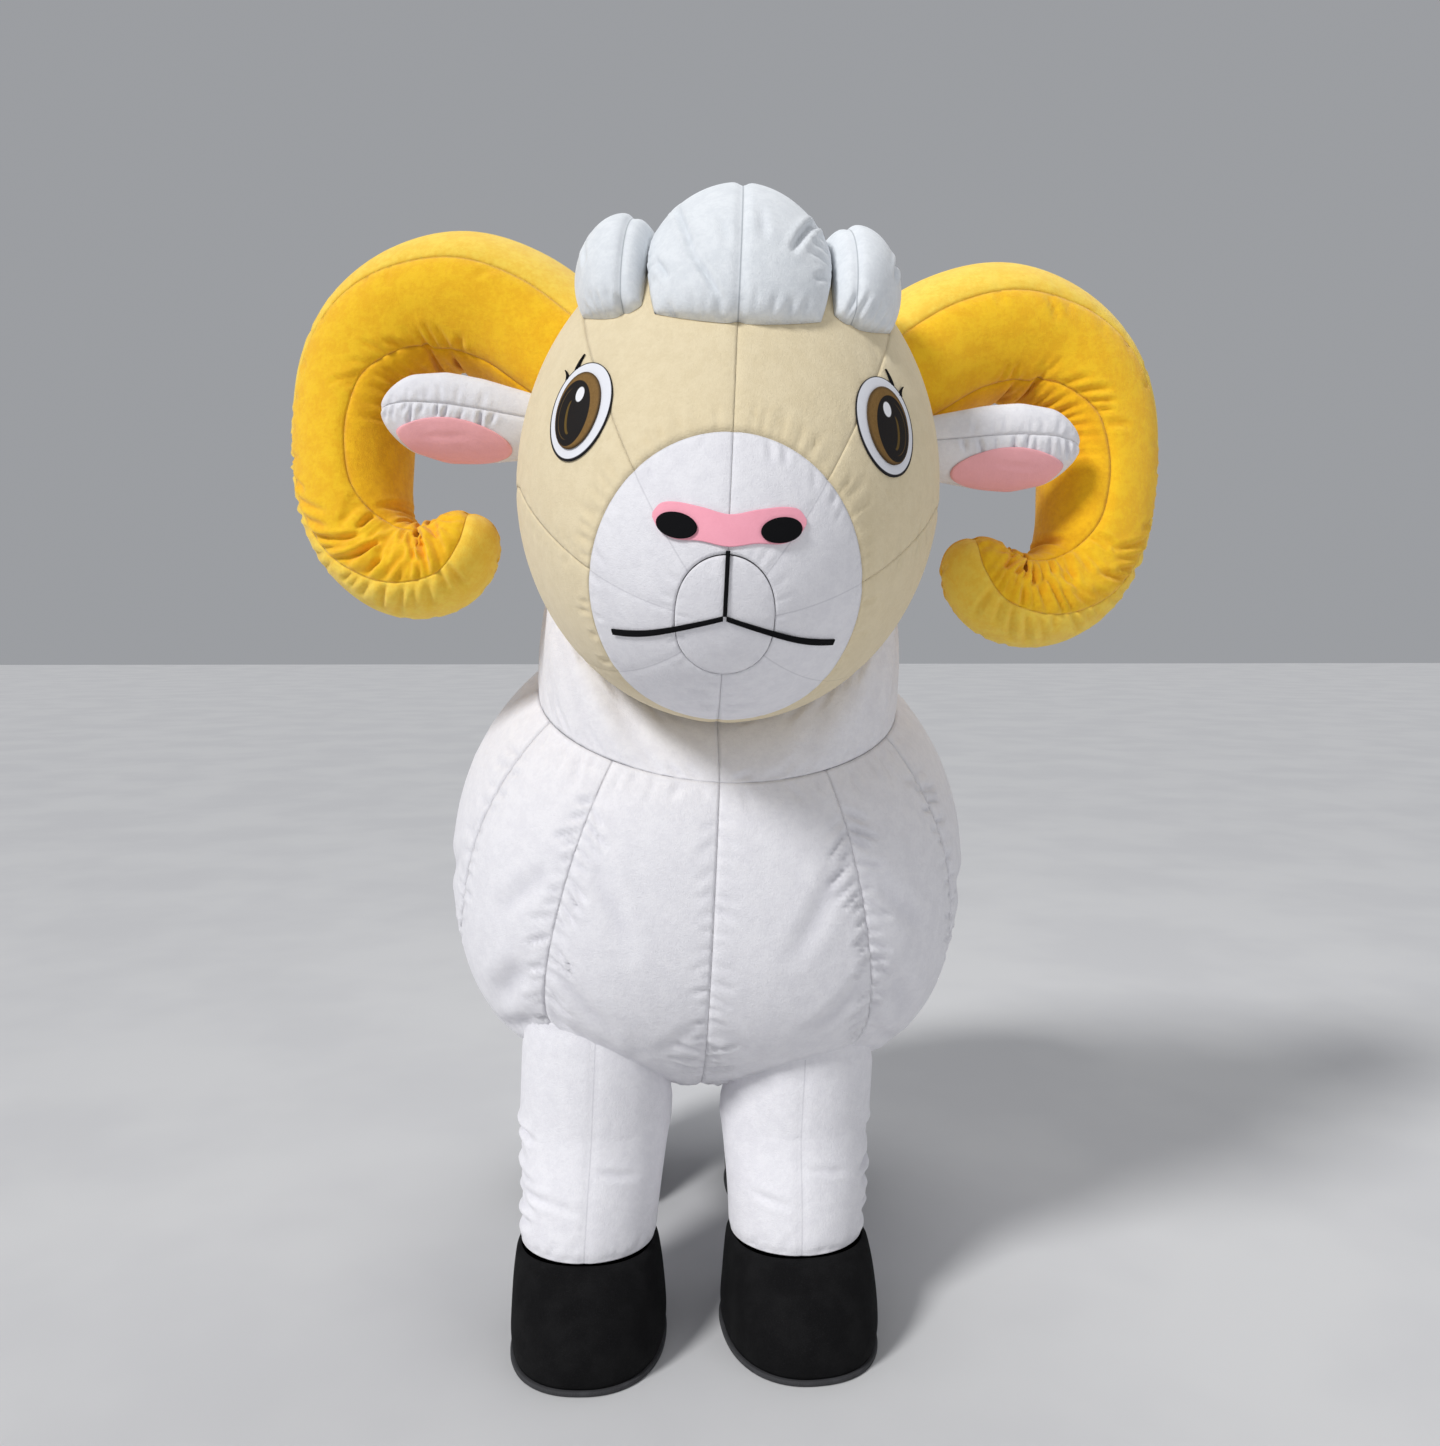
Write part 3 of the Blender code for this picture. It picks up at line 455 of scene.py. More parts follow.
@dataclass(frozen=True)
class Canvas(Finish):
    """Plain woven cloth of two sets of threads."""

    colour: Colour
    threads: float = 450.0
    pale: float = 2.2
    thread_height: float = 0.0006
    roughness: float = 0.8

    def material(self) -> Material:
        """Makes the material."""
        shader = Shader(self.name)
        split = shader.add("ShaderNodeSeparateXYZ", {}, {0: shader.place()})
        warp, weft = ((split.out(axis) * (self.threads * math.pi)).math("SINE") for axis in "XY")
        weave = (warp * weft) * 0.5 + 0.5
        worn = weave * 0.25 + shader.noise(30.0, 4.0).step(0.45, 0.75) * 0.35
        base = shader.mix(worn, self.colour, tuple(self.pale * c for c in self.colour))
        normal = shader.bump(weave, self.thread_height)
        shader.set(Base_Color=base, Roughness=self.roughness, Normal=normal)
        return shader.material


@dataclass(frozen=True)
class PrintedEye(Finish):
    """Smooth printed cloth of an eye, read by the place on its oval: outwards and up, from -1 to 1."""

    iris: bool
    gloss: float = 0.2
    roughness: float = 0.6
    thread_height: float = 0.0003

    def material(self) -> Material:
        """Makes the material."""
        shader = Shader(self.name)
        split = shader.add("ShaderNodeSeparateXYZ", {}, {0: shader.attribute("print").out("Vector")})
        paint = self._iris if self.iris else self._white
        shader.set(
            Base_Color=paint(shader, split.out("X"), split.out("Y")),
            Roughness=self.roughness,
            Specular_IOR_Level=self.gloss,
            Normal=shader.bump(shader.noise(900.0, 1.0), self.thread_height),
        )
        return shader.material

    def _oval(self, x: Signal, y: Signal, middle: tuple[float, float], half: tuple[float, float]) -> Signal:
        """Returns the distance from an oval's middle, 1 at its rim."""
        across, high = (x - middle[0]) * (1.0 / half[0]), (y - middle[1]) * (1.0 / half[1])
        return (across * across + high * high) ** 0.5

    def _white(self, shader: Shader, x: Signal, y: Signal) -> Signal:
        """Paints the white with its outline, thicker at its lower outer side."""
        outline = self._oval(x, y, (-0.010, 0.014), (0.962, 0.962)).step(0.99, 1.01)
        return shader.mix(outline, (0.80, 0.81, 0.86), (0.010, 0.009, 0.012))

    def _iris(self, shader: Shader, x: Signal, y: Signal) -> Signal:
        """Paints the iris, the pupil, its golden slit and arc and the light in it."""
        streaks = shader.noise(260.0, 2.0).step(0.3, 0.7)
        brown = shader.mix(streaks * 0.35, (0.230, 0.128, 0.036), (0.130, 0.066, 0.016))
        edge = self._oval(x, y, (0.0, 0.0), (1.0, 1.0))
        rimmed = shader.mix(edge.step(0.90, 1.0) * 0.7, brown, (0.040, 0.022, 0.008))
        ring = self._oval(x, y, (0.17, -0.05), (0.79, 0.86))
        eyed = shader.mix(1.0 - ring.step(0.98, 1.01), rimmed, (0.008, 0.006, 0.006))
        arc = (ring.step(0.785, 0.80) - ring.step(0.815, 0.83)) * x.step(0.25, 0.55)
        arced = shader.mix(arc, eyed, (0.110, 0.066, 0.022))
        outer = self._oval(x, y, (0.25, -0.16), (0.21, 0.44))
        inner = self._oval(x, y, (0.13, -0.13), (0.22, 0.48))
        slit = (1.0 - outer.step(0.94, 1.04)) * inner.step(0.92, 1.06)
        slitted = shader.mix(slit, arced, (0.130, 0.078, 0.014))
        light = 1.0 - self._oval(x, y, (-0.10, 0.38), (0.19, 0.20)).step(0.90, 1.06)
        return shader.mix(light, slitted, (0.85, 0.85, 0.88))


class Cloths:
    """The finishes of the costume, each made once."""

    WHITE = Plush("white_plush", "white_plush", (0.86, 0.85, 0.885), (0.60, 0.59, 0.65), nap_and_sheen=0.20)
    TUFT = Plush("tuft_plush", "white_plush", (0.80, 0.83, 0.86), (0.50, 0.54, 0.59), nap_and_sheen=0.22, thread=0.75)
    BEIGE = Plush("beige_plush", "beige_plush", (0.82, 0.70, 0.47), (0.62, 0.50, 0.29), nap_and_sheen=0.22)
    # One horn plush in one slot: the outer panel's copy is painted lighter, as lit, and the inner panel's
    # copy painted darker, as shade.
    HORN_FRONT = Plush("horn_front_plush", "horn_plush", (1.0, 0.60, 0.012), (0.84, 0.36, 0.0), nap_and_sheen=0.40)
    HORN_OUTER_PAINTED_LIT = Plush("horn_outer_painted_lit", "horn_plush", (1.0, 0.70, 0.085), (0.90, 0.47, 0.01), nap_and_sheen=0.40)
    HORN_INNER_PAINTED_SHADE = Plush("horn_inner_painted_shade", "horn_plush", (0.98, 0.54, 0.006), (0.72, 0.29, 0.0), nap_and_sheen=0.40)
    NOSE = Plush("nose_plush", "pink_plush", (1.0, 0.42, 0.52), (0.80, 0.26, 0.34), pile=0.0006)
    EAR_PINK = Plush("ear_plush", "pink_plush", (0.98, 0.47, 0.50), (0.78, 0.30, 0.33), pile=0.0008)
    BLACK = Plush(
        "black_plush", "black_plush", (0.006, 0.006, 0.007), (0.002, 0.002, 0.002),
        sheen=0.0, pile=0.0006, gloss=0.1,
    )
    HOOF = Velvet("hoof_velvet", "black_plush", (0.0045, 0.0045, 0.005))
    SOLE = Canvas("sole_canvas", "sole", (0.030, 0.030, 0.033))
    EYE = PrintedEye("eye_print", "eye_white", False)
    IRIS = PrintedEye("iris_print", "eye_iris", True)

    def __init__(self) -> None:
        """Starts with no material made."""
        self.made: dict[str, Material] = {}

    def of(self, finish: Finish) -> Material:
        """Returns the material of a finish."""
        if finish.name not in self.made:
            self.made[finish.name] = finish.material()
        return self.made[finish.name]


CLOTHS = Cloths()


class Relief:
    """The small forms of a panel: how far each of its points is pressed in or stands out, and the shade
    painted into its seams and troughs.

    A crease follows the cloth's bend in straight steps. It has a faint ridge on each side, whose place, width
    and height are shares of its own. Puckers vary in their place, length, lean, depth and width.
    """

    EDGE_FADE = 0.004
    SWELL_END = 0.06
    SWELL_ROUND = 0.7
    # The painted shade along a seam: its strength, and its width as a share of the dip's.
    SEAM_SHADE, SEAM_SHADE_WIDTH = 0.35, 0.4
    STEPS = 4
    RIDGE_AT, RIDGE_WIDTH, RIDGE_HEIGHT = 1.9, 0.9, 0.35
    # The painted shade in a crease grows with its depth over the first number, kept between the least and the
    # most.
    DARK_DEPTH, LEAST_DARK, MOST_DARK = 0.006, 0.15, 0.8
    PLACES, LENGTHS, LEANS = (0.15, 0.85), (0.45, 1.35), (-0.25, 0.25)
    DEPTHS, WIDTHS = (0.5, 1.4), (0.8, 1.3)
    LEAST_WIDTH, MOST_SHARE, START = 0.02, 0.9, 0.01

    def __init__(self, points: Array, seed: int) -> None:
        """Measures the panel.

        Args:
            points: Its grid of points.
            seed: The seed of its uneven creases.
        """
        self.points = points
        self.height = np.zeros(points.shape[:2])
        self.painted_shade = np.zeros(points.shape[:2])
        self.line = np.full(points.shape[:2], FAR_LINE)
        self.random = np.random.default_rng(int(seed))
        self.down_from, self.across_from = (self._walked(axis) for axis in (0, 1))
        self.length = float(np.median(self.down_from[-1]))
        self.width = float(np.median(self.across_from[:, -1]))
        nearest = np.minimum.reduce([self.away(edge) for edge in Edge])
        self.inside = 1.0 - 0.9 * bell(nearest, self.EDGE_FADE)

    def _walked(self, axis: int) -> Array:
        """Returns how far each point lies along its row or column, over the cloth."""
        steps = np.linalg.norm(np.diff(self.points, axis=axis), axis=-1)
        start = np.zeros_like(np.take(steps, [0], axis))
        return np.concatenate([start, np.cumsum(steps, axis=axis)], axis=axis)

    def away(self, edge: Edge) -> Array:
        """Returns how far each point lies from an edge."""
        if edge is Edge.TOP:
            return self.down_from
        if edge is Edge.BOTTOM:
            return self.down_from[-1:] - self.down_from
        if edge is Edge.LEFT:
            return self.across_from
        return self.across_from[:, -1:] - self.across_from

    def seam(self, edges: Sequence[Edge], depth: float = 0.0015, width: float = 0.007) -> "Relief":
        """Draws the cloth in towards its seams and paints shade along them.

        Args:
            edges: The edges with seams.
            depth: How deep the seam lies.
            width: How far the dip reaches.

        Returns:
            The relief.
        """
        for edge in edges:
            self.height -= depth * bell(self.away(edge), width)
            # Painted shade along the seam.
            self.paint_shade(self.SEAM_SHADE * bell(self.away(edge), self.SEAM_SHADE_WIDTH * width))
        return self

    def paint_shade(self, painted_shade: Array) -> None:
        """Marks where shade is painted on the cloth: in its seams, creases and dips."""
        self.painted_shade = np.maximum(self.painted_shade, painted_shade)

    def stitched(self, distances: Sequence[Array], depth: float, width: float) -> "Relief":
        """Adds stitched lines inside the panel.

        Args:
            distances: For each line, in order, the signed distances from it in metres.
            depth: How deep the line lies.
            width: How far the dip reaches.

        Returns:
            The relief.
        """
        for number, distance in enumerate(distances):
            self.height -= depth * bell(distance, width)
            signed = distance * (-1.0) ** number
            nearer = np.abs(signed) < np.abs(self.line)
            self.line = np.where(nearer | (number == 0), signed, self.line)
        return self

    def puff(self, height: float) -> "Relief":
        """Lets the air swell the middle of the panel between its side seams."""
        total = np.maximum(self.across_from[:, -1:], 1e-6)
        top, bottom = (smooth(0.0, self.SWELL_END, self.away(edge)) for edge in (Edge.TOP, Edge.BOTTOM))
        arch = np.clip(np.sin(math.pi * self.across_from / total), 0.0, 1.0) ** self.SWELL_ROUND
        self.height += height * (top * bottom) * arch
        return self

    def sample(self, down: float, across: float) -> Array:
        """Returns the point at two shares of the panel."""
        rows, cols = self.points.shape[0] - 1, self.points.shape[1] - 1
        r, c = min(max(down, 0.0), 1.0) * rows, min(max(across, 0.0), 1.0) * cols
        i, j = min(int(r), rows - 1), min(int(c), cols - 1)
        u, v, p = r - i, c - j, self.points
        top = p[i, j] * (1 - v) + p[i, j + 1] * v
        return top * (1 - u) + (p[i + 1, j] * (1 - v) + p[i + 1, j + 1] * v) * u

    def crease(
        self, start: tuple[float, float], end: tuple[float, float], width: float, depth: float
    ) -> "Relief":
        """Presses a soft trough with faint ridges beside it, and paints shade into the trough.

        Args:
            start: Shares down and across where it starts.
            end: Shares down and across where it ends.
            width: Its half width, in metres.
            depth: Its depth, in metres.

        Returns:
            The relief.
        """
        (down, across), (to_down, to_across) = start, end
        steps = self.STEPS
        shares = np.linspace(0.0, 1.0, steps + 1)
        path = [self.sample(down + (to_down - down) * t, across + (to_across - across) * t) for t in shares]
        best = np.full(self.height.shape, 1e3)
        along = np.zeros(self.height.shape)
        for k in range(steps):
            span = path[k + 1] - path[k]
            t = np.clip((self.points - path[k]) @ span / max(float(span @ span), 1e-12), 0.0, 1.0)
            far = np.linalg.norm(self.points - (path[k] + t[..., None] * span), axis=-1)
            nearer = far < best
            best = np.where(nearer, far, best)
            along = np.where(nearer, (k + t) / steps, along)
        fade = self.inside * np.clip(4.0 * along * (1.0 - along) + 0.25, 0.0, 1.0) ** 0.8
        trough = bell(best, width)
        ridge = bell(best - self.RIDGE_AT * width, self.RIDGE_WIDTH * width)
        self.height -= depth * fade * (trough - self.RIDGE_HEIGHT * ridge)
        # Painted shade in the trough.
        self.paint_shade(np.clip(depth / self.DARK_DEPTH, self.LEAST_DARK, self.MOST_DARK) * trough * fade)
        return self

    def creases(self, *rows: tuple[float, ...]) -> "Relief":
        """Presses creases, each given by its start and end (down and across), half width and depth."""
        for down, across, to_down, to_across, width, depth in rows:
            self.crease((down, across), (to_down, to_across), width, depth)
        return self

    def puckers(
        self,
        edge: Edge,
        span: tuple[float, float],
        count: int,
        length: float,
        slant: float,
        width: float,
        depth: float,
    ) -> "Relief":
        """Adds uneven short creases that run from a seam into the panel.

        Args:
            edge: The seam.
            span: From where to where along it, in shares.
            count: How many there are.
            length: Their usual length, in metres.
            slant: How far they lean along the seam for each unit of length.
            width: Their half width, in metres.
            depth: Their usual depth, in metres.

        Returns:
            The relief.
        """
        draw = self.random.uniform
        for k in range(count):
            at = span[0] + (span[1] - span[0]) * (k + draw(*self.PLACES)) / count
            reach = length * draw(*self.LENGTHS)
            lean = reach * (slant + draw(*self.LEANS))
            deep = depth * draw(*self.DEPTHS)
            wide = width * draw(*self.WIDTHS)
            if edge in (Edge.LEFT, Edge.RIGHT):
                row = int(round(at * (self.points.shape[0] - 1)))
                over, along = float(self.across_from[row, -1]), self.length
                inward = min(reach / max(over, self.LEAST_WIDTH), self.MOST_SHARE)
            else:
                along = max(self.width, self.LEAST_WIDTH)
                inward = min(reach / self.length, self.MOST_SHARE)
            near, far = self.START, inward
            if edge in (Edge.RIGHT, Edge.BOTTOM):
                near, far = 1.0 - near, 1.0 - far
            start, end = (at, near), (at + lean / along, far)
            if edge in (Edge.TOP, Edge.BOTTOM):
                start, end = start[::-1], end[::-1]
            self.crease(start, end, wide, deep)
        return self


@dataclass
class Panel:
    """A sheet of cloth on a surface of two shares, its outer face on the surface.

    It is named after the node that it stands for, or after itself where it stands for none.
    """

    node: str
    finish: Finish
    surface: Surface
    rows: int
    cols: int
    core: Array | Callable[[Array], Array]
    cloth: str = "plush"
    stands_for: bool = True
    dress: Callable[[Relief], Any] | None = None
    lift: float = 0.0
    wall: float = WALL
    around: bool = False
    hold: Hold = Hold.TAUT
    hole: Callable[[Array], Array] | None = None
    printed: float = 0.0

    @property
    def name(self) -> str:
        """Returns the piece's name."""
        return f"{self.node}_{self.cloth}"

    def normals(self, down: Array, across: Array) -> Array:
        """Returns unit normals of the surface, by small steps along both of its directions."""
        rows = np.clip(down, EDGE_INSET, 1.0 - EDGE_INSET)
        cols = across if self.around else np.clip(across, EDGE_INSET, 1.0 - EDGE_INSET)
        s = self.surface
        along = s(rows + NORMAL_STEP, cols) - s(rows - NORMAL_STEP, cols)
        aside = s(rows, cols + NORMAL_STEP) - s(rows, cols - NORMAL_STEP)
        return unit(np.cross(along, aside))

    def build(self, seed: int) -> Piece:
        """Makes the sheet, dresses it and rides it on the body.

        Args:
            seed: The seed of its uneven creases.

        Returns:
            The object.
        """
        rows, cols = np.linspace(0, 1, self.rows + 1), np.linspace(0, 1, self.cols + 1)
        down, across = np.meshgrid(rows, cols, indexing="ij")
        points, out = self.surface(down, across), self.normals(down, across)
        middle = self.core(down) if callable(self.core) else self.core
        if np.sum(out * (points - middle)) < 0:
            out = -out
        relief = Relief(points, seed)
        if self.dress:
            self.dress(relief)
        stand = relief.height + (self.lift + self.wall if self.lift else 0.0)
        placed = self._drawn_in(points + out * stand[..., None])
        made = self._mesh(STANCE.place(placed), STANCE.place(placed + AHEAD * out), relief, down, across)
        self._declare(made, relief)
        return made

    def _drawn_in(self, grid: Array) -> Array:
        """Draws the edges in by half a gap, so that pieces stay apart at the seam."""
        half, out = SEAM_GAP / 2.0, grid.copy()
        out[0] += half * unit(grid[1] - grid[0])
        out[-1] += half * unit(grid[-2] - grid[-1])
        if not self.around:
            out[:, 0] += half * unit(grid[:, 1] - grid[:, 0])
            out[:, -1] += half * unit(grid[:, -2] - grid[:, -1])
        return out

    def _mesh(self, points: Array, ahead: Array, relief: Relief, down: Array, across: Array) -> Piece:
        """Makes the mesh object, its wall on the inner side.

        Args:
            points: The grid of its outer face.
            ahead: The same grid, a little further out.
            relief: Its relief.
            down: Shares down the panel.
            across: Shares across it.

        Returns:
            The object.
        """
        count = self.cols if self.around else self.cols + 1
        number = np.arange((self.rows + 1) * count).reshape(self.rows + 1, count)
        i, j = np.meshgrid(np.arange(self.rows), np.arange(self.cols), indexing="ij")
        k = (j + 1) % count
        quads = np.stack([number[i, j], number[i + 1, j], number[i + 1, k], number[i, k]], axis=-1)
        if self.hole:
            flags = self.hole(relief.points)
            quads = quads[~(flags[i, j] & flags[i + 1, j] & flags[i + 1, j + 1] & flags[i, j + 1])]
        quads = quads.reshape(-1, 4)
        flat, probe = points[:, :count].reshape(-1, 3), ahead[:, :count].reshape(-1, 3)
        first, second, last = (flat[quads[:, n]] for n in (0, 1, 3))
        facing = np.sum(np.cross(second - first, last - first) * (probe[quads[:, 0]] - first))
        quads = quads[:, ::-1] if facing < 0 else quads
        mesh = bpy.data.meshes.new(self.name)
        mesh.from_pydata(flat.tolist(), [], quads.tolist())
        self._attributes(mesh, relief, down, across, count)
        mesh.shade_smooth()
        mesh.materials.append(CLOTHS.of(self.finish))
        made = put(self.name, mesh)
        self._drop_loose(mesh)
        wall = made.modifiers.new("wall", "SOLIDIFY")
        wall.thickness = self.wall
        wall.offset = -1.0
        return made

    def _attributes(self, mesh: Mesh, relief: Relief, down: Array, across: Array, count: int) -> None:
        """Stores the painted shade of each point, how far stitched lines are, and the place in a print."""
        for name, values in (("painted_shade", relief.painted_shade), ("line", relief.line)):
            made = mesh.attributes.new(name, "FLOAT", "POINT")
            made.data.foreach_set("value", values[:, :count].reshape(-1).astype(np.float32))
        if self.printed:
            x, y = to_disc(down, across)
            place = np.stack([-self.printed * x, y, 0.0 * x], axis=-1)
            made = mesh.attributes.new("print", "FLOAT_VECTOR", "POINT")
            made.data.foreach_set("vector", place[:, :count].reshape(-1).astype(np.float32))

    def _drop_loose(self, mesh: Mesh) -> None:
        """Removes points that a hole has left with no face."""
        if self.hole:
            cut = bmesh.new()
            cut.from_mesh(mesh)
            bmesh.ops.delete(cut, geom=[v for v in cut.verts if not v.link_faces], context="VERTS")
            cut.to_mesh(mesh)
            cut.free()

    def _declare(self, made: Piece, relief: Relief) -> None:
        """Rides the piece on the body, hides the part that it stands for and logs how it was cut."""
        p = relief.points
        one, two = p[1:, 1:] - p[:-1, :-1], p[1:, :-1] - p[:-1, 1:]
        cells = 0.5 * np.linalg.norm(np.cross(one, two), axis=-1)
        if self.hole:
            cells = cells * ~self.hole(p[:-1, :-1])
        width = max(float(relief.across_from[:, -1].max()), LEAST_CUT)
        length = max(float(relief.down_from[-1].max()), LEAST_CUT)
        area = min(max(float(cells.sum()), LEAST_FILL * width * length), width * length)
        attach(made, BODY)
        if self.stands_for:
            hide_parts(self.node)
        log.info("%s: cut %.3f x %.3f m, %.4f m2", self.name, width, length, area)


@dataclass
class Torso:
    """The body: an egg of eight gores that run from the neck seam to the belly."""

    centre: Array = field(default_factory=lambda: np.array([0.0, 0.34, 0.80]))
    half_width: float = 0.488
    front: float = 0.540
    back: float = 0.555
    up: float = 0.478
    down: float = 0.430
    round_up: float = 2.0
    round_down: float = 2.6
    round_long: float = 2.4
    neck_lean: float = 29.0
    neck_seam: float = 40.0
    belly_tilt: float = 179.4
    belly_bend: tuple[float, float] = (0.34, 0.62)
    names: tuple[str, ...] = ("chest", "shoulder", "flank", "back")
    seams: tuple[float, ...] = (0.0, 30.0, 58.0, 120.0, 180.0)
    belly_seams: tuple[float, ...] = (0.0, 32.0, 90.0, 145.0, 180.0)
    strip_rows: tuple[float, float] = (1.0 / 11.0, 6.0 / 11.0)
    strip_half: float = 0.016
    strip_lift: float = 0.0024
    strip_hem: float = 0.012
    strip_grid: tuple[int, int] = (110, 14)
    leg_zone: float = 0.65
    leg_pull: float = 0.10
    leg_inset: float = 0.007
    leg_dip: tuple[float, float] = (0.0045, 0.012)
    leg_rays: tuple[float, float] = (0.0030, 0.022)
    rows: int = 170
    cols: int = 36
    legs: list["Leg"] = field(default_factory=list)

    def __post_init__(self) -> None:
        """Works out the neck's directions."""
        lean = math.radians(self.neck_lean)
        self.axis = np.array([0.0, -math.sin(lean), math.cos(lean)])
        self.chest = np.cross(self.axis, SIDE) * -1.0

    def reach(self, d: Array) -> Array:
        """Returns how far the surface lies from the centre in each direction."""
        wide = np.abs(d[..., 0]) / self.half_width
        tall = np.abs(d[..., 2]) / np.where(d[..., 2] > 0, self.up, self.down)
        long = np.abs(d[..., 1]) / np.where(d[..., 1] < 0, self.front, self.back)
        n = np.where(d[..., 2] > 0, self.round_up, self.round_down)
        ring = (wide**n + tall**n) ** (1.0 / n)
        return (ring**self.round_long + long**self.round_long) ** (-1.0 / self.round_long)

    def point(self, down: Array, gore: Array) -> Array:
        """Gives points of the body.

        Args:
            down: Shares of the way down a gore.
            gore: The gore's number from the chest, below 0 on the left.

        Returns:
            The points.
        """
        number, side = np.arange(len(self.seams)), np.sign(gore)
        turn = side * np.interp(np.abs(gore), number, self.seams)
        low_turn = side * np.interp(np.abs(gore), number, self.belly_seams)
        far = self.belly_tilt - self.neck_lean * np.cos(np.radians(turn))
        high = polar(self.axis, self.chest, SIDE, self.neck_seam + (far - self.neck_seam) * down, turn)
        first = polar(self.axis, self.chest, SIDE, np.full_like(turn, self.neck_seam), turn)
        start = np.degrees(np.arccos(first[..., 2]))
        low = polar(UP, -BACK, SIDE, start + (self.belly_tilt - start) * down, low_turn)
        bend = smooth(*self.belly_bend, down)[..., None]
        d = unit((1.0 - bend) * high + bend * low)
        return self.centre + d * self.reach(d)[..., None]

    def belly_height(self, x: Array, y: Array) -> Array:
        """Returns the height of the underside over points of the floor."""
        long = np.abs(y - self.centre[1]) / np.where(y < self.centre[1], self.front, self.back)
        left = (1.0 - long**self.round_long) ** (self.round_down / self.round_long)
        deep = (left - (np.abs(x) / self.half_width) ** self.round_down) ** (1.0 / self.round_down)
        return self.centre[2] - self.down * deep

    def build(self) -> list[Piece]:
        """Makes the gores, open over the legs, and the closing strip."""
        made = []
        for side, sign in SIDES:
            for number, label in enumerate(self.names):

                def gore(down: Array, across: Array, number: int = number, sign: float = sign) -> Array:
                    """Gives points of one gore."""
                    return self.point(down, sign * (number + across))

                panel = Panel(
                    f"{label}_{side}", Cloths.WHITE, gore, self.rows, self.cols, self.centre,
                    dress=getattr(self, "dress_" + label), hole=self.over_leg,
                )
                made.append(panel.build(Seed.TORSO + 2 * number + (side == "left")))
        made.append(self.strip())
        return made

    def over_leg(self, points: Array) -> Array:
        """Says which points lie over a leg's hollow."""
        over = np.zeros(points.shape[:-1], bool)
        for leg in self.legs:
            over |= (self.from_leg(leg, points) < -self.leg_inset) & (points[..., 2] < self.leg_zone)
        return over

    def from_leg(self, leg: "Leg", points: Array) -> Array:
        """Returns how far points lie outside the upright cylinder of a leg's top."""
        return np.hypot(points[..., 0] - leg.x, points[..., 1] - leg.y) - leg.top_radius

    def around_legs(self, relief: Relief) -> None:
        """Draws the cloth in at the legs, with puckers that radiate from their seams, and paints shade in the
        dip and along the puckers.
        """
        (dip, dip_width), (rays, ray_reach) = self.leg_dip, self.leg_rays
        x, y, z = (relief.points[..., k] for k in range(3))
        for leg in self.legs:
            off = self.from_leg(leg, relief.points)
            near = (z < self.leg_zone) & (off < self.leg_pull)
            turn = np.arctan2(x - leg.x, y - leg.y)
            uneven = np.cos(23.0 * turn + 1.3 * np.sin(3.0 * turn))
            wave = 0.5 + 0.3 * uneven + 0.2 * np.cos(13.0 * turn + leg.toe)
            ray = wave * bell(off - ray_reach, ray_reach)
            relief.height -= near * (dip * bell(off, dip_width) + rays * ray)
            # Painted shade in the dip round the leg and along its puckers.
            relief.paint_shade(near * (0.6 * bell(off, dip_width / 2.0) + 0.18 * ray))

    def dress_gore(self, relief: Relief, swell: float) -> None:
        """Swells a gore, draws its seams in and draws it in at the legs."""
        relief.puff(swell).seam((Edge.LEFT, Edge.RIGHT)).seam((Edge.TOP,), 0.0008, 0.012)
        self.around_legs(relief)

    def dress_chest(self, relief: Relief) -> None:
        """Seams with slanting puckers, a few long soft folds and the creases over the legs."""
        self.dress_gore(relief, 0.004)
        relief.puckers(Edge.RIGHT, (0.06, 0.64), 26, 0.038, 0.60, 0.0050, 0.0058)
        relief.puckers(Edge.LEFT, (0.04, 0.46), 15, 0.026, 0.45, 0.0048, 0.0034)
        relief.puckers(Edge.LEFT, (0.46, 0.68), 13, 0.044, -0.35, 0.0050, 0.0062)
        relief.puckers(Edge.TOP, (0.1, 0.95), 6, 0.045, 0.3, 0.0060, 0.0026)
        relief.creases(
            (0.14, 0.88, 0.27, 0.50, 0.018, 0.0045),
            (0.33, 0.95, 0.42, 0.60, 0.016, 0.0045),
            (0.48, 0.97, 0.55, 0.68, 0.014, 0.0045),
            (0.40, 0.06, 0.47, 0.30, 0.014, 0.0030),
        )

    def dress_shoulder(self, relief: Relief) -> None:
        """Puckers along both seams and a dent below the shoulder."""
        self.dress_gore(relief, 0.004)
        relief.puckers(Edge.LEFT, (0.06, 0.64), 26, 0.038, 0.60, 0.0050, 0.0058)
        relief.puckers(Edge.RIGHT, (0.06, 0.68), 20, 0.036, -0.45, 0.0050, 0.0046)
        relief.puckers(Edge.TOP, (0.1, 0.95), 5, 0.045, -0.2, 0.0060, 0.0026)
        relief.creases(
            (0.35, 0.16, 0.44, 0.36, 0.022, 0.0090),
            (0.45, 0.10, 0.53, 0.42, 0.015, 0.0050),
            (0.18, 0.12, 0.29, 0.48, 0.017, 0.0042),
        )

    def dress_flank(self, relief: Relief) -> None:
        """Puckers along both seams and long soft folds on the side."""
        self.dress_gore(relief, 0.005)
        relief.puckers(Edge.LEFT, (0.05, 0.72), 22, 0.042, 0.45, 0.0052, 0.0052)
        relief.puckers(Edge.RIGHT, (0.05, 0.72), 22, 0.042, -0.45, 0.0052, 0.0052)
        relief.puckers(Edge.TOP, (0.05, 0.95), 8, 0.055, 0.2, 0.0065, 0.0028)
        relief.creases(
            (0.28, 0.10, 0.42, 0.44, 0.020, 0.0055),
            (0.48, 0.60, 0.60, 0.92, 0.018, 0.0055),
            (0.16, 0.55, 0.26, 0.80, 0.016, 0.0040),
        )

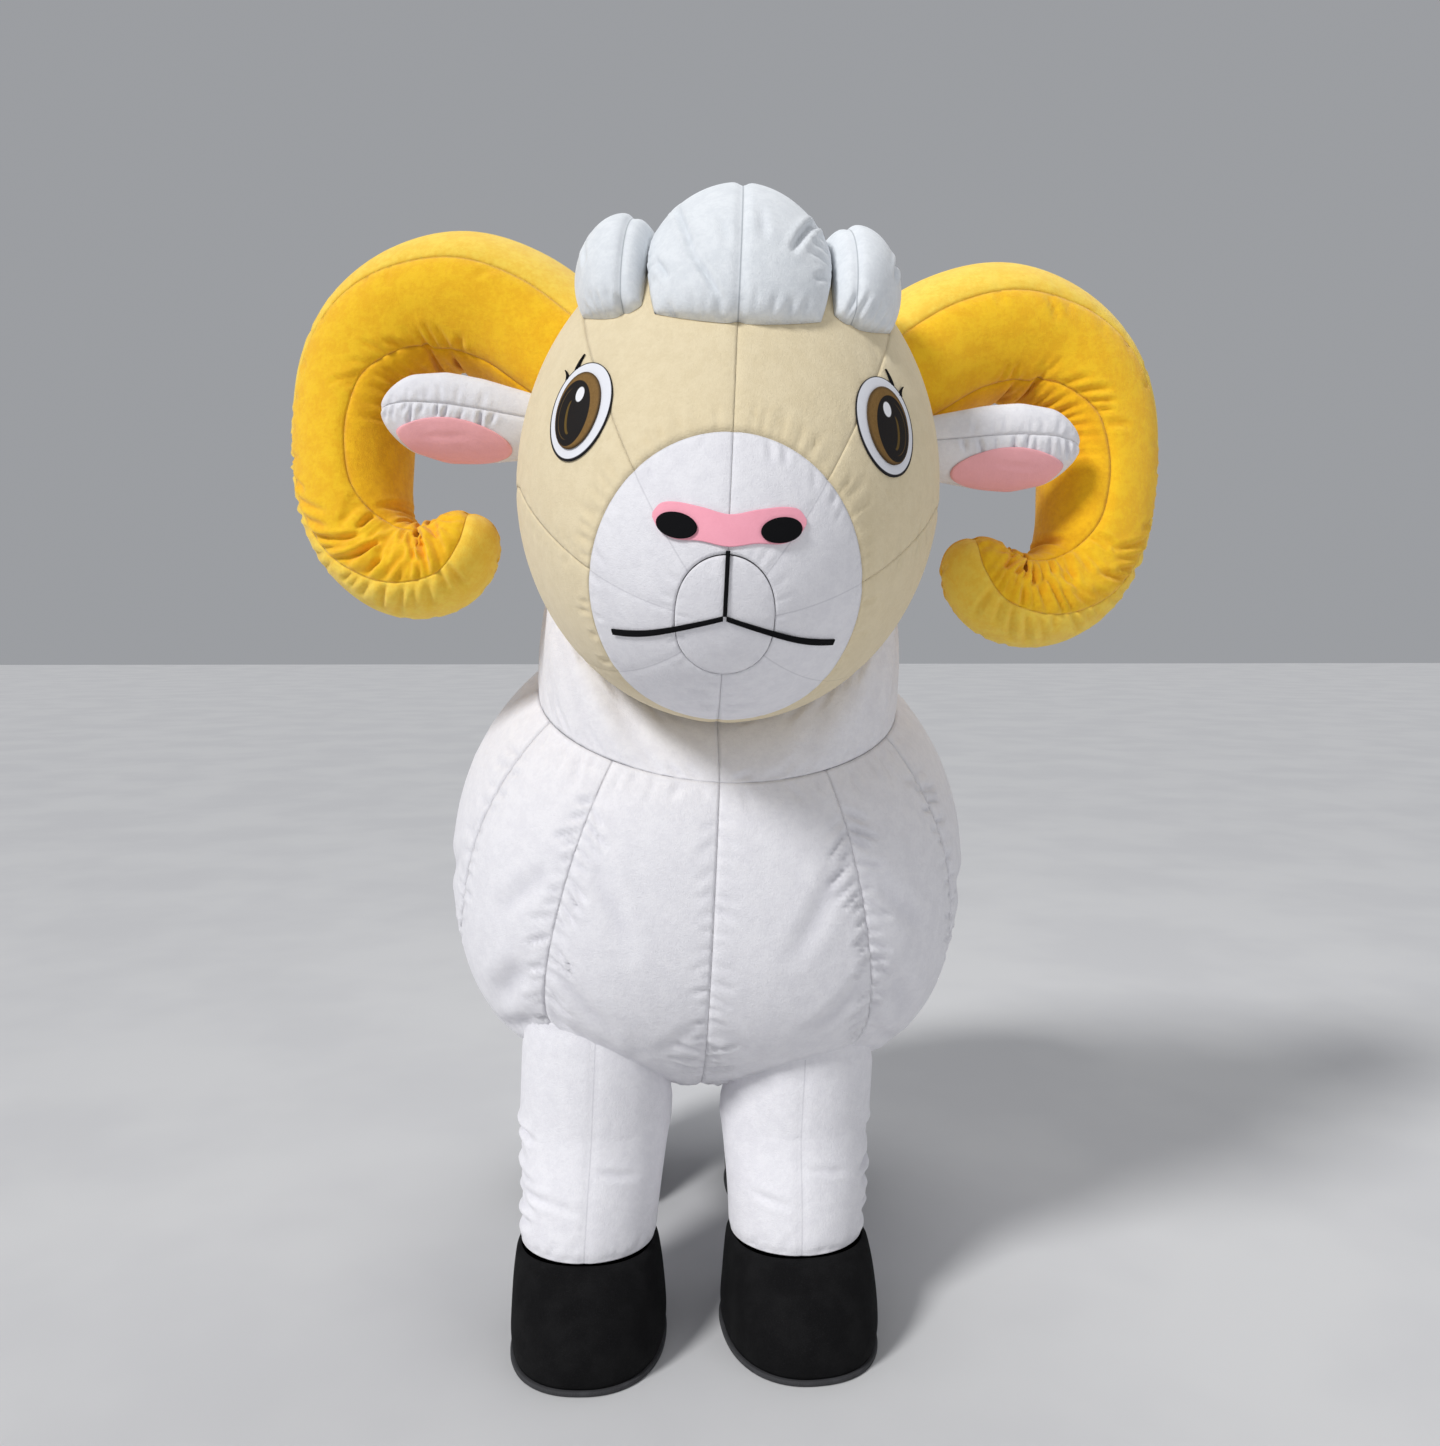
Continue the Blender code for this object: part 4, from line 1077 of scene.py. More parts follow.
    def dress_back(self, relief: Relief) -> None:
        """Puckers along the middle seam under the closing strip, and along the side seam."""
        self.dress_gore(relief, 0.005)
        relief.puckers(Edge.LEFT, (0.05, 0.72), 22, 0.042, 0.45, 0.0052, 0.0052)
        relief.puckers(Edge.RIGHT, (0.56, 0.88), 12, 0.046, -0.4, 0.0052, 0.0050)
        relief.puckers(Edge.TOP, (0.05, 0.85), 7, 0.055, 0.2, 0.0065, 0.0028)
        relief.creases((0.22, 0.12, 0.34, 0.48, 0.020, 0.0055), (0.50, 0.70, 0.58, 0.40, 0.018, 0.0050))

    def strip(self) -> Piece:
        """Makes the closing strip over the entry in the middle of the back."""

        def strip(down: Array, across: Array) -> Array:
            """Gives points of the strip."""
            first, last = self.strip_rows
            row = first + (last - first) * down
            middle = self.point(row, np.full_like(across, float(len(self.names))))
            edge = (2.0 * across - 1.0)[..., None] * self.strip_half * SIDE
            d = unit(middle + edge - self.centre)
            return self.centre + d * self.reach(d)[..., None]

        def dress(relief: Relief) -> None:
            """Stitches both long edges and ripples the strip."""
            middle = relief.across_from - 0.5 * relief.across_from[:, -1:]
            relief.stitched((middle + self.strip_hem, middle - self.strip_hem), 0.0005, 0.002)
            for edge in (Edge.LEFT, Edge.RIGHT):
                relief.puckers(edge, (0.04, 0.96), 12, 0.014, 0.1, 0.004, 0.0009)

        panel = Panel(
            "back_strip", Cloths.WHITE, strip, *self.strip_grid, self.centre,
            dress=dress, lift=self.strip_lift, wall=APPLIQUE_WALL,
        )
        return panel.build(Seed.STRIP)


@dataclass
class Head:
    """The head: an egg with a muzzle, turned a little and looking down."""

    centre: Array = field(default_factory=lambda: np.array([-0.007, -0.10, 1.471]))
    turn: float = -1.5
    half_width: float = 0.342
    front: float = 0.360
    back: float = 0.330
    up: float = 0.405
    down: float = 0.372
    muzzle_down: float = 28.0
    muzzle_reach: float = 0.095
    muzzle_spread: float = 0.62
    seams: tuple[float, ...] = (0.0, 39.0, 84.0, 180.0)
    stitch_turns: tuple[float, ...] = (39.0, 84.0, 135.0)
    names: tuple[str, ...] = ("forehead", "cheek", "jaw")
    cols: tuple[int, ...] = (4, 4, 8)
    fineness: int = 11
    rows: int = 80
    disc_grid: tuple[int, int] = (36, 36)
    muzzle_grid: tuple[int, int] = (34, 128)
    far_chin: float = 61.0
    far_nape: float = 207.0
    bend: tuple[float, float] = (0.65, 1.0)
    disc_side: float = 8.8
    disc_tall: float = 3.0
    disc_ease: float = 0.985
    patch_side: float = 28.3
    patch_top: float = 5.5
    patch_chin: float = 11.5
    hole_down: float = 45.0
    hole_side: float = 60.0
    hole_long: float = 46.0

    def __post_init__(self) -> None:
        """Works out the directions of the muzzle and the neck opening."""
        self.axis = turned(0.0, -self.muzzle_down)
        self.over = np.cross(self.axis, SIDE)
        hole = math.radians(self.hole_down)
        self.hole_axis = np.array([0.0, math.cos(hole), -math.sin(hole)])
        self.nape = np.cross(self.hole_axis, SIDE) * -1.0

    def reach(self, d: Array) -> Array:
        """Returns how far the surface lies from the centre in each direction."""
        tall = np.where(d[..., 2] > 0, self.up, self.down)
        long = np.where(d[..., 1] < 0, self.front, self.back)
        egg = ((d[..., 0] / self.half_width) ** 2 + (d[..., 1] / long) ** 2 + (d[..., 2] / tall) ** 2) ** -0.5
        off = np.arccos(np.clip(d @ self.axis, -1.0, 1.0))
        return egg + self.muzzle_reach * bell(off, self.muzzle_spread)

    def facing(self, d: Array, turn: float) -> Array:
        """Returns directions turned about the upright axis, in degrees."""
        c, s = math.cos(math.radians(turn)), math.sin(math.radians(turn))
        x, y = d[..., 0], d[..., 1]
        return np.stack([x * c - y * s, x * s + y * c, d[..., 2]], axis=-1)

    def point(self, d: Array, height: Array | float = 0.0) -> Array:
        """Returns points on the head, or at a height over it, in directions of its own frame."""
        d = unit(d)
        return self.centre + self.facing(d, self.turn) * (self.reach(d) + height)[..., None]

    def clearance(self, points: Array) -> Array:
        """Returns how far points lie outside the head."""
        away = points - self.centre
        return np.linalg.norm(away, axis=-1) - self.reach(unit(self.facing(away, -self.turn)))

    def rim(self, turn: Array) -> Array:
        """Returns directions of the neck opening's rim, 0 at the nape and 180 under the chin."""
        a = np.radians(turn)[..., None]
        side = math.tan(math.radians(self.hole_side)) * np.sin(a) * SIDE
        long = math.tan(math.radians(self.hole_long)) * np.cos(a) * self.nape
        return unit(self.hole_axis + side + long)

    def patch_tilt(self, turn: Array) -> Array:
        """Returns the angle of the white patch's rim from the muzzle's axis."""
        high = np.cos(np.radians(turn))
        top = self.patch_top * np.maximum(high, 0) ** 2
        return self.patch_side + top + self.patch_chin * np.maximum(-high, 0) ** 3

    def disc_tilt(self, turn: Array) -> Array:
        """Returns the angle of the muzzle disc's rim from the muzzle's axis."""
        return self.disc_side + self.disc_tall * np.cos(np.radians(turn)) ** 2

    def far(self, turn: Array) -> Array:
        """Returns the angle of the neck opening's rim from the muzzle's axis."""
        share = (0.5 + 0.5 * np.cos(np.radians(turn))) ** 2
        return self.far_chin + (self.far_nape - self.far_chin) * share

    def direction(self, tilt: Array, turn: Array) -> Array:
        """Returns directions that leave the muzzle straight and bend round to the neck opening."""
        plain = polar(self.axis, self.over, SIDE, tilt, turn)
        bend = smooth(*self.bend, tilt / self.far(turn))[..., None]
        return unit((1.0 - bend) * plain + bend * self.rim(turn))

    def column_turn(self, across: Array) -> Array:
        """Returns turns across a muzzle half whose columns meet those of the gores."""
        ends = np.cumsum((0,) + self.cols) / sum(self.cols)
        return np.interp(across, ends, self.seams)

    def build(self) -> list[Piece]:
        """Makes the muzzle disc, the muzzle halves and the gores."""

        def disc(down: Array, across: Array) -> Array:
            """Gives points of the muzzle disc."""
            x, y = to_disc(down, across)
            turn = np.degrees(np.arctan2(x, y))
            tilt = self.disc_ease * self.disc_tilt(turn) * np.hypot(x, y)
            return self.point(polar(self.axis, self.over, SIDE, tilt, turn))

        panel = Panel("muzzle_disc", Cloths.WHITE, disc, *self.disc_grid, self.centre, dress=self.dress_disc)
        made = [panel.build(Seed.DISC)]
        for side, sign in SIDES:
            made.append(self.muzzle(side, sign))
            for number, label in enumerate(self.names):
                made.append(self.gore(side, sign, number, label))
        return made

    def dress_disc(self, relief: Relief) -> None:
        """Draws the disc's rim in, with short creases from it."""
        relief.seam(tuple(Edge), 0.0007, 0.005)
        for edge in Edge:
            relief.puckers(edge, (0.1, 0.9), 3, 0.018, 0.2, 0.004, 0.0010)

    def stitch_distances(self, relief: Relief, turns: Array) -> list[Array]:
        """Returns signed distances from the stitched lines that lie within the turns."""
        spread = np.gradient(relief.across_from, axis=1) / np.maximum(np.gradient(turns, axis=1), 1e-6)
        inside = [line for line in self.stitch_turns if turns.min() + 1.0 < line < turns.max() - 1.0]
        return [(turns - line) * spread for line in inside]

    def muzzle(self, side: str, sign: float) -> Piece:
        """Makes one half of the white muzzle patch."""

        def half(down: Array, across: Array) -> Array:
            """Gives points of the half."""
            turn = sign * self.column_turn(across)
            tilt = self.disc_tilt(turn) + (self.patch_tilt(turn) - self.disc_tilt(turn)) * down
            return self.point(self.direction(tilt, turn))

        def dress(relief: Relief) -> None:
            """Draws the seams in and stitches the lines that carry on the gores' seams."""
            relief.seam((Edge.TOP,), 0.0007, 0.005).seam((Edge.BOTTOM,), 0.0011, 0.006)
            relief.seam((Edge.LEFT, Edge.RIGHT), 0.0012, 0.006)
            turns = self.column_turn(np.linspace(0.0, 1.0, relief.points.shape[1])[None, :])
            relief.stitched(self.stitch_distances(relief, turns), 0.0008, 0.006)
            relief.puckers(Edge.TOP, (0.05, 0.95), 9, 0.022, 0.1, 0.0040, 0.0010)
            relief.puckers(Edge.BOTTOM, (0.05, 0.95), 15, 0.026, 0.25, 0.0042, 0.0022)
            relief.puckers(Edge.RIGHT, (0.05, 0.60), 6, 0.032, 0.3, 0.0042, 0.0030)

        panel = Panel(f"muzzle_{side}", Cloths.WHITE, half, *self.muzzle_grid, self.centre, dress=dress)
        return panel.build(Seed.MUZZLE + (side == "right"))

    def gore(self, side: str, sign: float, number: int, label: str) -> Piece:
        """Makes one beige gore.

        Args:
            side: The side's name.
            sign: -1 for the left, 1 for the right.
            number: The gore's number from the forehead.
            label: Its name.

        Returns:
            The object.
        """
        start, end = self.seams[number], self.seams[number + 1]

        def gore(down: Array, across: Array) -> Array:
            """Gives points of the gore."""
            turn = sign * (start + (end - start) * across)
            near = self.patch_tilt(turn)
            return self.point(self.direction(near + (self.far(turn) - near) * down, turn))

        def dress(relief: Relief) -> None:
            """Draws the seams in, with short creases from them and a stitched line on the jaw."""
            relief.seam((Edge.LEFT, Edge.RIGHT), 0.0014, 0.006).seam((Edge.TOP,), 0.0013, 0.006)
            relief.seam((Edge.BOTTOM,), 0.0008, 0.012)
            turns = (start + (end - start) * np.linspace(0.0, 1.0, relief.points.shape[1]))[None, :]
            relief.stitched(self.stitch_distances(relief, turns), 0.0010, 0.006)
            relief.puckers(Edge.TOP, (0.08, 0.92), 8, 0.034, 0.3, 0.0048, 0.0024)
            for edge in (Edge.LEFT, Edge.RIGHT):
                relief.puckers(edge, (0.05, 0.85), 9, 0.030, 0.3, 0.0055, 0.0020)
            relief.puckers(Edge.BOTTOM, (0.05, 0.95), 6, 0.050, 0.2, 0.007, 0.0026)

        cols = self.fineness * self.cols[number]
        panel = Panel(f"{label}_{side}", Cloths.BEIGE, gore, self.rows, cols, self.centre, dress=dress)
        return panel.build(Seed.HEAD + 2 * number + (side == "left"))


@dataclass
class Neck:
    """The neck in two halves, from the chest's seam to the opening under the head."""

    torso: Torso
    head: Head
    swell: float = 0.012
    grid: tuple[int, int] = (40, 180)
    folds: tuple[float, ...] = (0.14, 0.33, 0.52, 0.74)

    def build(self) -> list[Piece]:
        """Makes both halves."""
        made = []
        core = (self.head.centre + self.torso.centre) / 2.0
        for side, sign in SIDES:

            def half(down: Array, across: Array, sign: float = sign) -> Array:
                """Gives points of the half."""
                top = self.head.point(self.head.rim(sign * self.head.column_turn(1.0 - across)))
                low = self.torso.point(np.zeros_like(across), sign * len(self.torso.names) * across)
                out = self.swell * np.sin(math.pi * np.clip(down, 0, 1))[..., None]
                mixed = top + (low - top) * down[..., None]
                return mixed + out * unit(mixed - core)

            panel = Panel(f"neck_{side}", Cloths.WHITE, half, *self.grid, core, dress=self.dress)
            made.append(panel.build(Seed.NECK + (side == "left")))
        return made

    def dress(self, relief: Relief) -> None:
        """Draws the seams in and lays slanting folds between them."""
        relief.seam((Edge.TOP, Edge.BOTTOM), 0.0008, 0.012).seam((Edge.LEFT, Edge.RIGHT), 0.0014, 0.007)
        relief.puckers(Edge.BOTTOM, (0.02, 0.98), 22, 0.045, 0.5, 0.0060, 0.0022)
        relief.puckers(Edge.TOP, (0.02, 0.98), 20, 0.045, -0.3, 0.0060, 0.0022)
        for at in self.folds:
            lean = relief.random.uniform(-0.05, 0.06)
            relief.crease((0.10, at), (0.88, at + lean), 0.018, 0.0040 * relief.random.uniform(0.6, 1.2))


@dataclass
class Leg:
    """A leg of plush with its hoof of velvet and its sole."""

    name: str
    x: float
    y: float
    toe: float
    step: float
    torso: Torso
    top_radius: float = 0.137
    top_rise: float = 0.016
    low: float = 0.1685
    straight_from: float = 0.362
    top_share: float = 0.2
    hoof_round: float = 2.3
    sole_height: float = 0.009
    sole_half_width: float = 0.135
    sole_half_length: float = 0.186
    sole_round: float = 0.0025
    tube_grid: tuple[int, int] = (72, 100)
    hoof_grid: tuple[int, int] = (30, 76)
    sole_grid: tuple[int, int] = (20, 20)
    folds: int = 12
    fold_from: float = 0.27
    fold_step: float = 0.056
    fold_ranges: Rows = ((-0.012, 0.012), (0.05, 0.11), (-0.06, 0.06), (-0.05, 0.05), (0.0050, 0.0085))
    dents: Rows = ((0.45, 0.06), (0.62, 0.93), (0.55, 0.45), (0.74, 0.56))
    shape: tuple[tuple[float, ...], ...] = (
        (0.362, 0.137, 0.0),
        (0.325, 0.132, 0.012),
        (0.270, 0.127, 0.032),
        (0.215, 0.123, 0.047),
        (0.1685, 0.121, 0.056),
    )
    hoof_shape: tuple[tuple[float, ...], ...] = (
        (0.1682, 0.121, 0.121, 0.056),
        (0.156, 0.125, 0.134, 0.064),
        (0.128, 0.129, 0.152, 0.078),
        (0.090, 0.132, 0.170, 0.091),
        (0.045, 0.134, 0.181, 0.098),
        (0.0093, 0.131, 0.182, 0.099),
    )

    def __post_init__(self) -> None:
        """Works out which way the toe points."""
        self.angle = math.radians(math.copysign(1.0, self.x) * self.toe)
        self.toe_way = np.array([math.sin(self.angle), -math.cos(self.angle), 0.0])
        self.side_way = np.array([math.cos(self.angle), math.sin(self.angle), 0.0])
        self.foot = np.array([self.x, self.y, 0.0])
        self.seed = Seed.LEG + 10 * len(self.name) + (self.x > 0)

    def round_pair(self, turn: Array) -> tuple[Array, Array]:
        """Returns across and along shares of the hoof's rounded outline, by the turn from its front."""
        s, c, power = np.sin(np.radians(turn)), np.cos(np.radians(turn)), self.hoof_round
        reach = (np.abs(s) ** power + np.abs(c) ** power) ** (-1.0 / power)
        return reach * s, reach * c

    def build(self) -> list[Piece]:
        """Makes the leg, the hoof and the sole."""
        return [self.tube(), self.hoof(), self.sole()]

    def tube(self) -> Piece:
        """Makes the leg's tube."""

        def tube(down: Array, across: Array) -> Array:
            """Gives points of the tube."""
            turn = 2.0 * math.pi * across
            low = np.clip((down - self.top_share) / (1.0 - self.top_share), 0.0, 1.0)
            radius, step = column(self.shape, 1, low), column(self.shape, 2, low)
            px = self.x + radius * np.sin(turn) + step * math.sin(self.angle)
            py = self.y - radius * np.cos(turn) - step * math.cos(self.angle)
            height = column(self.shape, 0, low)
            rise = np.clip(1.0 - down / self.top_share, 0.0, 1.0)
            top = self.torso.belly_height(px, py) + self.top_rise
            return np.stack([px, py, height + rise * (top - height)], axis=-1)

        core = np.array([self.x, self.y, self.straight_from])
        panel = Panel(
            f"leg_{self.name}", Cloths.WHITE, tube, *self.tube_grid, core, dress=self.dress_tube, around=True
        )
        return panel.build(self.seed)

    def dress_tube(self, relief: Relief) -> None:
        """Adds the front and rear seams, folds on the outer side and a drawn-in ankle."""
        outer = 0.75 if self.x < 0 else 0.25
        relief.seam((Edge.BOTTOM,), 0.0030, 0.010)
        p = relief.points
        over = p[..., 2] - self.torso.belly_height(p[..., 0], p[..., 1])
        relief.height -= 0.0035 * bell(over, 0.012)
        # Painted shade in the dip at the belly seam.
        relief.paint_shade(0.6 * bell(over, 0.006))
        around = relief.across_from[:, -1:]
        relief.stitched([relief.across_from - at * around for at in (0.0, 0.5, 1.0)], 0.0020, 0.007)
        for k in range(self.folds):
            shift, reach, lean, aside, deep = (relief.random.uniform(*ends) for ends in self.fold_ranges)
            down, place = self.fold_from + self.fold_step * k + shift, outer + aside
            relief.crease((down, place - reach), (down + lean, place + reach), 0.0070, deep)
        for place in (0.08, 0.40, 0.60, 0.92):
            relief.puckers(Edge.BOTTOM, (place - 0.06, place + 0.06), 3, 0.040, 0.2, 0.006, 0.0026)
        for down, place in self.dents:
            relief.crease((down, place - 0.04), (down + 0.05, place + 0.04), 0.007, 0.0026)

    def hoof(self) -> Piece:
        """Makes the hoof."""

        def boot(down: Array, across: Array) -> Array:
            """Gives points of the hoof."""
            wide, long = self.round_pair(360.0 * across)
            height, half_wide, half_long, forward = (column(self.hoof_shape, k, down) for k in range(4))
            side = (half_wide * wide + self.step * smooth(0.0, 1.0, down))[..., None] * self.side_way
            along = (half_long * long + forward)[..., None] * self.toe_way
            return self.foot + side + along + height[..., None] * UP

        def dress(relief: Relief) -> None:
            """Draws the seams in, with short creases from the upper one."""
            relief.seam((Edge.TOP,), 0.0035, 0.008).seam((Edge.BOTTOM,), 0.002, 0.005)
            relief.puckers(Edge.TOP, (0.0, 1.0), 14, 0.022, 0.1, 0.006, 0.0016)

        core = self.foot + self.low / 2.0 * UP
        panel = Panel(
            f"hoof_{self.name}", Cloths.HOOF, boot, *self.hoof_grid, core,
            cloth="velvet", dress=dress, around=True,
        )
        return panel.build(self.seed + 3)

    def sole(self) -> Piece:
        """Makes the sole, with its rim rounded over."""

        def sole(down: Array, across: Array) -> Array:
            """Gives points of the upper face."""
            x, y = to_disc(down, across)
            wide, long = self.round_pair(np.degrees(np.arctan2(x, y)))
            share = np.hypot(x, y)
            side = self.sole_half_width * wide * share + self.step
            along = self.sole_half_length * long * share + self.hoof_shape[-1][3]
            flat = side[..., None] * self.side_way + along[..., None] * self.toe_way
            return self.foot + flat + self.sole_height * UP

        panel = Panel(
            f"sole_{self.name}", Cloths.SOLE, sole, *self.sole_grid, self.foot - UP,
            cloth="canvas", wall=self.sole_height,
        )
        made = panel.build(self.seed + 5)
        soft = made.modifiers.new("rim", "BEVEL")
        soft.width = self.sole_round
        soft.segments = 2
        soft.angle_limit = math.radians(60.0)
        return made


def leaves_head(
    head: Head, point: Callable[[Array, Array], Array], turn: Array, limit: float, gap: float
) -> Array:
    """Finds where each line of a tube leaves the head.

    Args:
        head: The head.
        point: Gives points of the tube by the share of its length and the turn.
        turn: The turns of the lines.
        limit: The share where the search ends.
        gap: How far off the head the lines start.

    Returns:
        The shares.
    """
    shares = np.linspace(0.0, limit, 61)
    grid = np.stack([point(np.full_like(turn, share), turn) for share in shares])
    off = head.clearance(grid) - gap
    inside = (off < 0) * np.arange(1, len(shares) + 1).reshape((-1,) + (1,) * turn.ndim)
    last = np.clip(inside.max(axis=0) - 1, 0, len(shares) - 2)
    low = np.take_along_axis(off, last[None], 0)[0]
    high = np.take_along_axis(off, last[None] + 1, 0)[0]
    return shares[last] + (shares[1] - shares[0]) * np.clip(low / (low - high), 0.0, 1.0)


@dataclass
class Horn:
    """A curled horn of four panels on a centre line."""

    side: str
    sign: float
    tip_step: float
    root_gap: float
    head: Head
    square: float = 2.3
    round_from: float = 0.90
    end_share: float = 0.9995
    exit_share: float = 0.30
    tip_from: float = 0.70
    step: float = 0.004
    bend_step: float = 0.02
    bend_free: float = 0.48
    bend_left: float = 0.22
    row_ease: float = 1.3
    rows: int = 200
    cols: int = 28
    pleats: Rows = ((0.14, 0.40, 11, 0.0050), (0.54, 0.93, 19, 0.0058))
    path: tuple[tuple[float, ...], ...] = (
        (0.215, 0.030, 1.640, 0.112, 66.0),
        (0.300, 0.060, 1.706, 0.117, 66.0),
        (0.385, 0.080, 1.762, 0.119, 66.0),
        (0.470, 0.090, 1.786, 0.119, 64.0),
        (0.550, 0.100, 1.768, 0.116, 56.0),
        (0.612, 0.100, 1.720, 0.111, 42.0),
        (0.648, 0.100, 1.655, 0.106, 28.0),
        (0.660, 0.092, 1.580, 0.102, 20.0),
        (0.659, 0.080, 1.505, 0.099, 18.0),
        (0.650, 0.066, 1.435, 0.094, 24.0),
        (0.625, 0.050, 1.372, 0.087, 42.0),
        (0.582, 0.030, 1.332, 0.082, 60.0),
        (0.530, 0.010, 1.318, 0.079, 72.0),
        (0.479, -0.004, 1.330, 0.075, 80.0),
        (0.446, -0.014, 1.372, 0.070, 84.0),
        (0.434, -0.020, 1.420, 0.064, 86.0),
    )
    # The outer panel takes the horn plush painted lighter, as lit, and the inner panel the horn plush painted
    # darker, as shade.
    panels: tuple[tuple[str, float, float, Finish], ...] = (
        ("front", 0.0, 76.0, Cloths.HORN_FRONT),
        ("inner", 76.0, 180.0, Cloths.HORN_INNER_PAINTED_SHADE),
        ("rear", 180.0, 268.0, Cloths.HORN_FRONT),
        ("outer", 268.0, 360.0, Cloths.HORN_OUTER_PAINTED_LIT),
    )

    def middle(self, along: Array) -> Array:
        """Returns points of the centre line by the share of its length."""
        across, long, high = (column(self.path, k, along) for k in range(3))
        across = across + self.tip_step * smooth(self.tip_from, 1.0, along)
        return np.stack([self.sign * across, long, high], axis=-1)

    def bend(self, along: Array) -> Array:
        """Returns how the centre line bends, as long as one over its radius."""
        middle = np.clip(along, self.bend_step, 1.0 - self.bend_step)
        behind, here, ahead = (self.middle(middle + k * self.bend_step) for k in (-1, 0, 1))
        length = np.linalg.norm(ahead - behind, axis=-1, keepdims=True) / 2.0
        return (unit(ahead - here) - unit(here - behind)) / length

    def point(self, along: Array, turn: Array) -> Array:
        """Returns points by the share of the length and the turn from the outer side to the front."""
        tangent = unit(self.middle(along + self.step) - self.middle(along - self.step))
        front = unit(-BACK + tangent * tangent[..., 1:2])
        out = np.cross(front, tangent) * self.sign
        end = np.clip((along - self.round_from) / (1.0 - self.round_from), 0.0, 1.0)
        square = np.radians(turn - column(self.path, 4, along) - 45.0)
        n = self.square
        bulge = (np.abs(np.cos(square)) ** n + np.abs(np.sin(square)) ** n) ** (-1.0 / n)
        radius = column(self.path, 3, along) * np.sqrt(np.maximum(1.0 - end * end, 0.0)) * bulge
        a = np.radians(turn)
        reach = radius[..., None] * (np.cos(a)[..., None] * out + np.sin(a)[..., None] * front)
        bend = self.bend(along)
        inside = np.sum(reach * bend, axis=-1, keepdims=True)
        over = np.maximum(inside - self.bend_free, 0.0)
        kept = self.bend_left * np.tanh(over / self.bend_left)
        return self.middle(along) + reach - (over - kept) * bend / np.sum(bend * bend, axis=-1, keepdims=True)

    def line(self, along: Array, offset: Array) -> Array:
        """Returns points by the share of the length and the offset from the first seam."""
        return self.point(along, column(self.path, 4, along) + offset)

    def core(self, down: Array) -> Array:
        """Returns the point of the centre line beside each row."""
        return self.middle(self.exit_share / 2 + (1.0 - self.exit_share / 2) * down)

    def build(self) -> list[Piece]:
        """Makes the four panels."""
        made = []
        for number, (label, start, end, finish) in enumerate(self.panels):

            def strip(down: Array, across: Array, start: float = start, end: float = end) -> Array:
                """Gives points of one panel."""
                offset = start + (end - start) * across
                root = leaves_head(self.head, self.line, offset[:1], self.exit_share, self.root_gap)
                eased = 1.0 - np.abs(1.0 - down) ** self.row_ease
                return self.line(root + (self.end_share - root) * eased, offset)

            panel = Panel(
                f"horn_{self.side}_{label}", finish, strip, self.rows, self.cols, self.core,
                dress=getattr(self, "dress_" + label),
                hold=Hold.GATHERED if label == "inner" else Hold.TAUT,
            )
            made.append(panel.build(Seed.HORN + 2 * number + (self.side == "left")))
        return made

    def dress_seams(self, relief: Relief) -> None:
        """Draws the two side seams and the seam at the head in."""
        relief.seam((Edge.LEFT, Edge.RIGHT), 0.0030, 0.008).seam((Edge.TOP,), 0.003, 0.010)

    def dress_front(self, relief: Relief) -> None:
        """Draws the seams in, with fanning creases from the inner one."""
        self.dress_seams(relief.puff(0.003))
        relief.puckers(Edge.RIGHT, (0.10, 0.36), 10, 0.036, 0.2, 0.0050, 0.0042)
        relief.puckers(Edge.RIGHT, (0.50, 0.92), 17, 0.058, 0.3, 0.0050, 0.0062)
        relief.puckers(Edge.LEFT, (0.08, 0.44), 9, 0.034, 0.3, 0.0052, 0.0046)
        relief.puckers(Edge.LEFT, (0.44, 0.84), 16, 0.062, 0.8, 0.0050, 0.0080)
        relief.puckers(Edge.LEFT, (0.84, 0.97), 4, 0.030, 0.3, 0.0055, 0.0030)

    def dress_inner(self, relief: Relief) -> None:
        """Gathers the inner panel in pleats where the horn bends."""
        self.dress_seams(relief)
        for start, end, count, deep in self.pleats:
            for k in range(int(count)):
                at = start + (end - start) * (k + relief.random.uniform(0.3, 0.7)) / count
                lean = relief.random.uniform(-0.008, 0.008)
                near, far = relief.random.uniform(0.0, 0.12), relief.random.uniform(0.75, 1.0)
                relief.crease((at, near), (at + lean, far), 0.0048, deep * relief.random.uniform(0.6, 1.2))

    def dress_rear(self, relief: Relief) -> None:
        """Draws the seams in, with creases like those of the front."""
        self.dress_seams(relief.puff(0.003))
        relief.puckers(Edge.LEFT, (0.10, 0.34), 9, 0.032, 0.2, 0.0055, 0.0032)
        relief.puckers(Edge.LEFT, (0.52, 0.92), 15, 0.042, 0.3, 0.0055, 0.0044)
        relief.puckers(Edge.RIGHT, (0.10, 0.90), 22, 0.032, 0.5, 0.0055, 0.0030)

    def dress_outer(self, relief: Relief) -> None:
        """Draws the seams in, with short slanting creases from the front seam."""
        self.dress_seams(relief.puff(0.003))
        relief.puckers(Edge.RIGHT, (0.06, 0.30), 7, 0.030, -0.4, 0.0055, 0.0026)
        relief.puckers(Edge.RIGHT, (0.36, 0.84), 18, 0.055, -0.7, 0.0050, 0.0054)
        relief.puckers(Edge.LEFT, (0.10, 0.90), 20, 0.035, 0.5, 0.0055, 0.0030)


